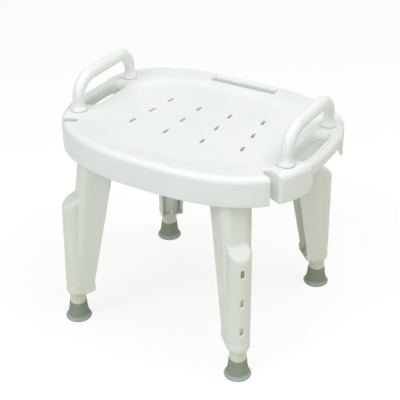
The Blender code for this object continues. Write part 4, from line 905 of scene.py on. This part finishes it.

# The leg plastic is darker and greener than the seat's: partly the legs' own off-white and partly painted
# shade for their place under the seat's rim.
leg_plastic = moulded_finish(
    "white_leg_plastic_partly_painted_shade", ((0.78, 0.80, 0.735), (0.75, 0.77, 0.70)), (0.82, 0.835, 0.79),
    (0.38, 0.50), 0.0016, (650.0, 0.5), (0.3, 0.0002))


def leg_size(pair, z):
    """A size at a height, on the straight line between its bottom and top values."""
    return mix(pair, (z - LEG_BOTTOM) / (LEG_TOP - LEG_BOTTOM))


def end_edge(z):
    """What the round edge of the leg's end takes off: a quarter ellipse, c (1 - sqrt(1 - s2))."""
    share = np.clip(1.0 - (z - LEG_BOTTOM) / END_EDGE[1], 0.0, 0.97)
    return END_EDGE[0] * (1.0 - np.sqrt(1.0 - share ** 2))


def column_radius(z):
    """The column's radius, with a shallow waist, a bead and the round edge at its end."""
    waist, bead = (
        size * smooth_step(1.0 - np.abs(z - LEG_BOTTOM - middle) / reach)
        for size, middle, reach in (COLUMN_WAIST, COLUMN_BEAD))
    return COLUMN_RADIUS - waist + bead - end_edge(z)


def channel_sizes(z):
    """The nose's depth, half width and corner, and the flange end's depth and half width, which
    step out to a toe near the leg's end."""
    edge = end_edge(z)
    toe = smooth_step((TOE_HEIGHT + LEG_BOTTOM - z) / TOE_START)
    return (
        leg_size(NOSE_DEPTH, z) + edge, leg_size(NOSE_HALF, z) - edge, leg_size(NOSE_CORNER, z) - edge,
        leg_size(FLANGE_END_DEPTH, z) + FLANGE_TOE[0] * toe,
        leg_size(FLANGE_END_HALF, z) + FLANGE_TOE[1] * toe)


def flange_half(depth, z):
    """Half the channel's width at a depth: a straight spread, with the lip flared near its end."""
    nose, half, corner, end, end_half = channel_sizes(z)
    spread = (end_half - half) / (end - nose - corner)
    lip = FLANGE_LIP_FLARE * np.clip((z - FLANGE_LIP_START) / (LEG_TOP - FLANGE_LIP_START), 0.0, 1.0)
    lip = lip * smooth_step((depth - end) / FLANGE_LIP_LENGTH + 1.0)
    return half + spread * (depth - nose - corner) + lip


def past_both(first, second):
    """How far a point is past two planes: sqrt(a2 + b2) if past both, else the larger."""
    both = np.hypot(np.maximum(first, 0.0), np.maximum(second, 0.0))
    return both + np.minimum(np.maximum(first, second), 0.0)


def channel_distance(x, y, z, inset):
    """How far a point is outside the channel, whose nose and side are joined by a quarter
    circle: how far it is past their two planes, moved in by its radius, less that radius."""
    nose, _, corner, _, _ = channel_sizes(z)
    side, front = np.abs(y) - flange_half(-x, z) + corner, nose + x + corner
    return past_both(side, front) - corner + inset


def shoulder_height(x):
    """The slanted shoulder's height, which falls in proportion to x from its top at the nose."""
    return SHOULDER_TOP - SHOULDER_SLOPE * (x + leg_size(NOSE_DEPTH, SHOULDER_TOP))


def column_distance(x, y, z):
    """How far a point is outside the column, whose circle and shoulder plane are joined by a
    quarter circle, in the same way."""
    across = np.hypot(x, y) - column_radius(z) + SHOULDER_ROUND
    above = (z - shoulder_height(x)) / np.hypot(1.0, SHOULDER_SLOPE) + SHOULDER_ROUND
    return past_both(across, above) - SHOULDER_ROUND


def leg_distance(x, y, z):
    """The nearer of channel and column, less h2 k / 4 with h = 1 - |their difference| / k, which
    fills the corner between them as a fillet of width k."""
    channel, column = channel_distance(x, y, z, top_shrink(z)), column_distance(x, y, z)
    width = mix((COLUMN_FILLET, SHOULDER_FILLET), smooth_step((z - FILLET_START) / FILLET_BLEND))
    blend = np.maximum(1.0 - np.abs(channel - column) / width, 0.0)
    return np.minimum(channel, column) - blend ** 2 * width / 4.0


def top_shrink(z, inset=0.0):
    """The inset of the channel's rounded top edge: r (1 - cos a) where it is r sin a high."""
    radius = LEG_TOP_ROUND - inset
    rise = np.clip((z - LEG_TOP + LEG_TOP_ROUND) / radius, 0.0, 1.0)
    return radius * (1.0 - np.sqrt(1.0 - rise ** 2)) + inset


def leg_rows(z, columns, distance):
    """Rings on rays from an upright line inside the nose: the ray at an angle ends where the
    distance is 0, found for all rays at once by halving. The outermost rays meet the flange
    ends, and the ring closes straight across the open side."""
    nose, _, _, end, _ = channel_sizes(z)
    centre = -nose - RAY_START
    last = np.arctan2(flange_half(end, z), -end - centre)
    angle = last * np.linspace(-1.0, 1.0, columns)
    near, far = np.zeros_like(angle), np.full_like(angle, RAY_REACH)
    for _ in range(26):
        middle = (near + far) / 2.0
        outside = distance(centre + middle * np.cos(angle), middle * np.sin(angle), z) > 0.0
        near, far = np.where(outside, near, middle), np.where(outside, middle, far)
    return grid(centre + near * np.cos(angle), near * np.sin(angle), z)


def leg_mesh():
    """One upright leg: the blended form less its hollow, with the column, bore and holes."""
    rounded_top = LEG_TOP - LEG_TOP_ROUND * (1.0 - np.sin(quarter(9)))
    z = np.concatenate([
        LEG_BOTTOM + np.linspace(0.0, END_EDGE[1], 7), *(np.linspace(*span) for span in LEG_ROWS),
        rounded_top])[:, None]
    form = closed(leg_rows(z, 145, leg_distance))
    inner_top = LEG_TOP - LEG_TOP_ROUND + (LEG_TOP_ROUND - LEG_WALL) * np.sin(quarter(7))
    floor = LEG_BOTTOM + FLANGE_RISE + LEG_WALL
    z = np.concatenate([np.linspace(floor, 0.094, 11), np.linspace(0.10, 0.37, 19), inner_top])[:, None]
    rows = leg_rows(z, 57, lambda x, y, z: channel_distance(x, y, z, top_shrink(z, LEG_WALL)))
    out = rows[:, [0, -1]] - (2.0 * THROUGH, 0.0, 0.0)
    hollow = closed(np.concatenate([out[:, :1], rows, out[:, 1:]], axis=1))
    far = FLANGE_END_DEPTH[0] + THROUGH
    slant = FLANGE_RISE / (FLANGE_END_DEPTH[0] - HEEL_DEPTH)
    wedge_x = -np.array([HEEL_DEPTH, far, far, HEEL_DEPTH])
    wedge_z = LEG_BOTTOM + np.array([0.0, (far - HEEL_DEPTH) * slant, -THROUGH, -THROUGH])
    wedge = closed(grid(wedge_x, np.array([[-WEDGE_HALF], [WEDGE_HALF]]), wedge_z))
    turns = turns_of(64)
    height = np.append(np.linspace(0.0, END_EDGE[1], 6), np.linspace(0.008, 0.036, 15))
    height = LEG_BOTTOM + height[:, None]
    radius = column_radius(height) - COLUMN_SLACK
    low = grid(radius * np.cos(turns), radius * np.sin(turns), height)
    inwards, down = round_off(SHOULDER_ROUND, quarter(9)[:, None])
    radius = COLUMN_RADIUS - COLUMN_SLACK - inwards
    x = radius * np.cos(turns)
    shoulder = shoulder_height(x) - down - COLUMN_SLACK
    column = closed(np.concatenate([low, grid(x, radius * np.sin(turns), shoulder)]))
    root = COLUMN_ROOT - COLUMN_RADIUS
    rib_half, rib_tip, rib_out = (np.array(pair) for pair in (HEEL_RIB_HALF, HEEL_RIB_TIP, HEEL_RIB_OUT))
    tip = -COLUMN_RADIUS - rib_out
    rib = closed(grid(
        np.stack([[root, root], [root, root], tip, tip], axis=1),
        np.stack([-rib_half, rib_half, rib_tip, -rib_tip], axis=1),
        LEG_BOTTOM + np.array([[FLANGE_RISE], [RIB_TOP]])))
    bore = rod(BORE_RADIUS, LEG_BOTTOM - THROUGH, BORE_TOP, 64)
    rim = np.linspace(0.0, 1.0, 9)
    rise = np.concatenate([[0.0], HOLE_SINK * (HOLE_RISE * rim - 1.0), [HOLE_SINK]])[:, None]
    spread = HOLE_SPREAD * (1.0 - np.sqrt(1.0 - (HOLE_REACH * rim) ** 2))
    spread = np.concatenate([[0.0], spread, [HOLE_SPREAD]])[:, None]
    across, up = oblong(HOLE_WIDTH / 2.0 + spread, HOLE_LENGTH - HOLE_WIDTH, 32)
    out = np.sqrt(COLUMN_RADIUS ** 2 - across ** 2) + rise
    out[0] = 0.0
    holes = [closed(grid(out, across, centre + up)) for centre in HOLE_HEIGHTS]
    plate = [
        rod(LEG_SCREW[0] + GAP, LEG_TOP - 2.0 * LEG_WALL, LEG_TOP + THROUGH, 24, (-depth, 0.0))
        for depth in LEG_SCREW_DEPTHS]
    return carved(
        mesh_of(form), (CUT, mesh_of(hollow)), (CUT, mesh_of(wedge)),
        (JOIN, mesh_of(column)), (JOIN, mesh_of(rib)), (CUT, mesh_of(bore)),
        (CUT, mesh_of(*holes)), (CUT, mesh_of(*plate)))


def put_on_legs(mesh, material, kind, node, body=None):
    """Repeat a leg's piece at the four corners: lean it, and turn and move it into place."""
    lean = Matrix.Identity(4)
    lean[0][2] = -LEG_LEAN
    for corner, (side_x, side_y) in CORNERS.items():
        copy = mesh.copy()
        turn = Matrix.Rotation(np.arctan2(side_y, side_x), 4, "Z")
        copy.transform(Matrix.Translation((side_x * FOOT_X, side_y * FOOT_Y, 0.0)) @ turn @ lean)
        rides = f"{body}_{corner}" if body else "seat_frame"
        add_piece(f"{kind}_{corner}", smoothed(copy), material, rides, f"{node}_{corner}")


put_on_legs(leg_mesh(), leg_plastic, "leg_moulding", "leg_housing")

for corner, (side_x, side_y) in CORNERS.items():
    for letter, depth in zip("ab", LEG_SCREW_DEPTHS):
        x, y, _ = leg_placed(np.array([-depth, 0.0, LEG_TOP]), side_x, side_y)
        mesh = screw_mesh(LEG_SCREW, LEG_WALL + LEG_SCREW_GRIP, (x, y, LEG_TOP - LEG_WALL - GAP))
        name = f"leg_screw_{corner}_{letter}"
        add_piece(f"steel_{name}", mesh, steel, "seat_frame", name)

# The extension tubes are plain white plastic tube that slides in the columns. Each has one
# oblong hole near its top for its snap button and a foot pressed on below.
TUBE_RADIUS, TUBE_WALL, TUBE_LOW, TUBE_HIGH, TUBE_EDGE = 0.016, 0.003, 0.010, 0.250, 0.0009
TUBE_SEAM, TUBE_HOLE_REACH = TUBE_LOW + 0.1, 0.02

# The tube plastic is tinted darker and greener than the seat's white: painted shade for the tubes' place
# low under the seat.
tube_plastic = moulded_finish(
    "white_tube_plastic_painted_shade", ((0.70, 0.72, 0.62), (0.67, 0.69, 0.59)), (0.73, 0.75, 0.66),
    (0.30, 0.40), 0.0008, (420.0, 0.5), (0.2, 0.0002))
tube_inner = TUBE_RADIUS - TUBE_WALL
# A profile that starts and ends at one seam inside, so that the tube is open at both ends
tube_profile = rounded([
    (tube_inner, TUBE_SEAM), (tube_inner, TUBE_HIGH), (TUBE_RADIUS, TUBE_HIGH), (TUBE_RADIUS, TUBE_LOW),
    (tube_inner, TUBE_LOW), (tube_inner, TUBE_SEAM)], TUBE_EDGE)[:-1]
turns = turns_of(64)
ring = grid(tube_profile[:, :1] * np.cos(turns), tube_profile[:, :1] * np.sin(turns), tube_profile[:, 1:])
index = np.arange(ring[..., 0].size).reshape(ring.shape[:2])
index = np.concatenate([index, index[:1]])
next_round = np.roll(index, -1, axis=1)
tube_faces = np.stack([index[:-1], index[1:], next_round[1:], next_round[:-1]], axis=-1).reshape(-1, 4)
hole_across, hole_up = oblong(HOLE_WIDTH / 2.0, HOLE_LENGTH - HOLE_WIDTH, 32)
tube_hole = closed(grid(np.array([[0.0], [TUBE_HOLE_REACH]]), hole_across, HOLE_HEIGHTS[0] + hole_up))
tube_mesh = carved(mesh_of((ring.reshape(-1, 3), [tube_faces])), (CUT, mesh_of(tube_hole)))
put_on_legs(tube_mesh, tube_plastic, "extension_tube", "leg_extension", "extension")

# A snap button clip sits inside each tube: a strip of spring steel bent into a V, with an
# oblong head on its front arm that stands in the tube's hole and in one of the column's.
BUTTON_RECESS, BUTTON_ROUND, BUTTON_TRAVEL = 0.0015, 0.0013, 0.0045
CLIP_STRIP, CLIP_WIDTH = 0.0012, 0.007
CLIP_ABOVE, CLIP_BELOW, CLIP_BEND, CLIP_FAR_ROOM = 0.008, 0.034, 0.0030, 0.0006
# The clip fits the CAD's tube, whose bore has this many flats
BORE_FLATS = 24


def clip_surface():
    """The strip: a rectangle carried down the front arm, round a half circle and up the rear
    arm, with its normal across the line."""
    reach = np.sqrt((tube_inner * np.cos(np.pi / BORE_FLATS)) ** 2 - (CLIP_WIDTH / 2.0) ** 2)
    front = reach - GAP - CLIP_STRIP / 2.0
    rear = -reach + BUTTON_TRAVEL + CLIP_FAR_ROOM + CLIP_STRIP / 2.0
    low, high = HOLE_HEIGHTS[0] - CLIP_BELOW, HOLE_HEIGHTS[0] + CLIP_ABOVE
    turn = np.linspace(0.0, np.pi, 15)
    by_cos, by_sin = round_off(CLIP_BEND, turn)
    bend = np.stack([front - by_cos, low + by_sin], axis=1)
    line = np.concatenate([[(front, high)], bend, [(rear, high)]])
    along = np.gradient(line, axis=0)
    along /= np.linalg.norm(along, axis=1)[:, None]
    side = np.stack([-along[:, 1], along[:, 0]], axis=1) * CLIP_STRIP / 2.0
    section = np.stack([line + side, line + side, line - side, line - side], axis=1)
    across = np.array([-1.0, 1.0, 1.0, -1.0]) * CLIP_WIDTH / 2.0
    return closed(grid(section[..., 0], across, section[..., 1])), front


def button_surface(front):
    """The head: an oblong whose radius shrinks as a quarter circle at the outer end."""
    inwards, short = round_off(BUTTON_ROUND, quarter(7))
    depth = np.append(front, COLUMN_RADIUS - BUTTON_RECESS - short)[:, None]
    radius = HOLE_WIDTH / 2.0 - GAP - np.append(0.0, inwards)[:, None]
    across, up = oblong(radius, HOLE_LENGTH - HOLE_WIDTH, 32)
    return closed(grid(depth, across, HOLE_HEIGHTS[0] + up))


clip, arm_front = clip_surface()
clip_mesh = carved(mesh_of(clip), (JOIN, mesh_of(button_surface(arm_front))))
# The clip's steel is painted a dark olive grey: painted shade, so that the head in the top hole looks as
# dark as the empty holes beside it.
spring_steel_painted_dark = steel_finish("spring_steel_painted_dark", ((0.25, 0.255, 0.20), (0.33, 0.335, 0.27)), (0.45, 0.60))
put_on_legs(clip_mesh, spring_steel_painted_dark, "spring_button", "snap_button", "button")

# The feet are dull grey-green rubber tips pushed onto the tubes: a collar, a hollow flare, a
# wide ring that spreads on a wet floor and a tread groove beneath.
FOOT_TOP, FOOT_COLLAR, FOOT_LIP_RADIUS, FOOT_TOP_RADIUS, FOOT_FLARE = 0.038, 0.004, 0.0167, 0.0173, 1.6
FOOT_WAIST, FOOT_RING = (0.0213, 0.0088), (0.0254, 0.0034)
FOOT_RING_EDGE, FOOT_BASE_RADIUS = 0.0018, 0.0243
FOOT_EDGES = (0.0004, 0.0009)
FOOT_TREAD = [(0.0185, 0.0), (0.0175, 0.0012), (0.0120, 0.0012), (0.0110, 0.0), (0.0, 0.0)]

# Below the waist the foot's rubber is painted a lighter bluish grey: a painted highlight for the light
# that the wide ring's upper face catches.
rubber = moulded_finish(
    "grey_rubber", ((0.285, 0.325, 0.255), (0.25, 0.29, 0.225)), (0.33, 0.365, 0.30),
    (0.58, 0.72), 0.0012, (520.0, 0.5), (0.5, 0.0003), 0.4, (FOOT_WAIST[1], (0.39, 0.43, 0.40)))
socket = TUBE_RADIUS + GAP
share = np.linspace(0.0, 1.0, 16)
collar = FOOT_TOP - FOOT_COLLAR
flare = np.stack([
    mix((FOOT_TOP_RADIUS, FOOT_WAIST[0]), share ** FOOT_FLARE),
    mix((collar, FOOT_WAIST[1]), share)], axis=1)
upper = rounded([
    (0.0, TUBE_LOW - GAP), (socket, TUBE_LOW - GAP), (socket, FOOT_TOP), (FOOT_LIP_RADIUS, FOOT_TOP),
    (FOOT_TOP_RADIUS, collar), flare[1]], FOOT_EDGES[0])
lower = rounded([
    flare[-2], FOOT_WAIST, FOOT_RING, (FOOT_RING[0], FOOT_RING_EDGE), (FOOT_BASE_RADIUS, 0.0),
    *FOOT_TREAD], FOOT_EDGES[1])
foot_mesh = mesh_of(turned(np.concatenate([upper[:-1], flare[1:-1], lower[1:]]), 72))
put_on_legs(foot_mesh, rubber, "rubber_foot", "foot", "extension")
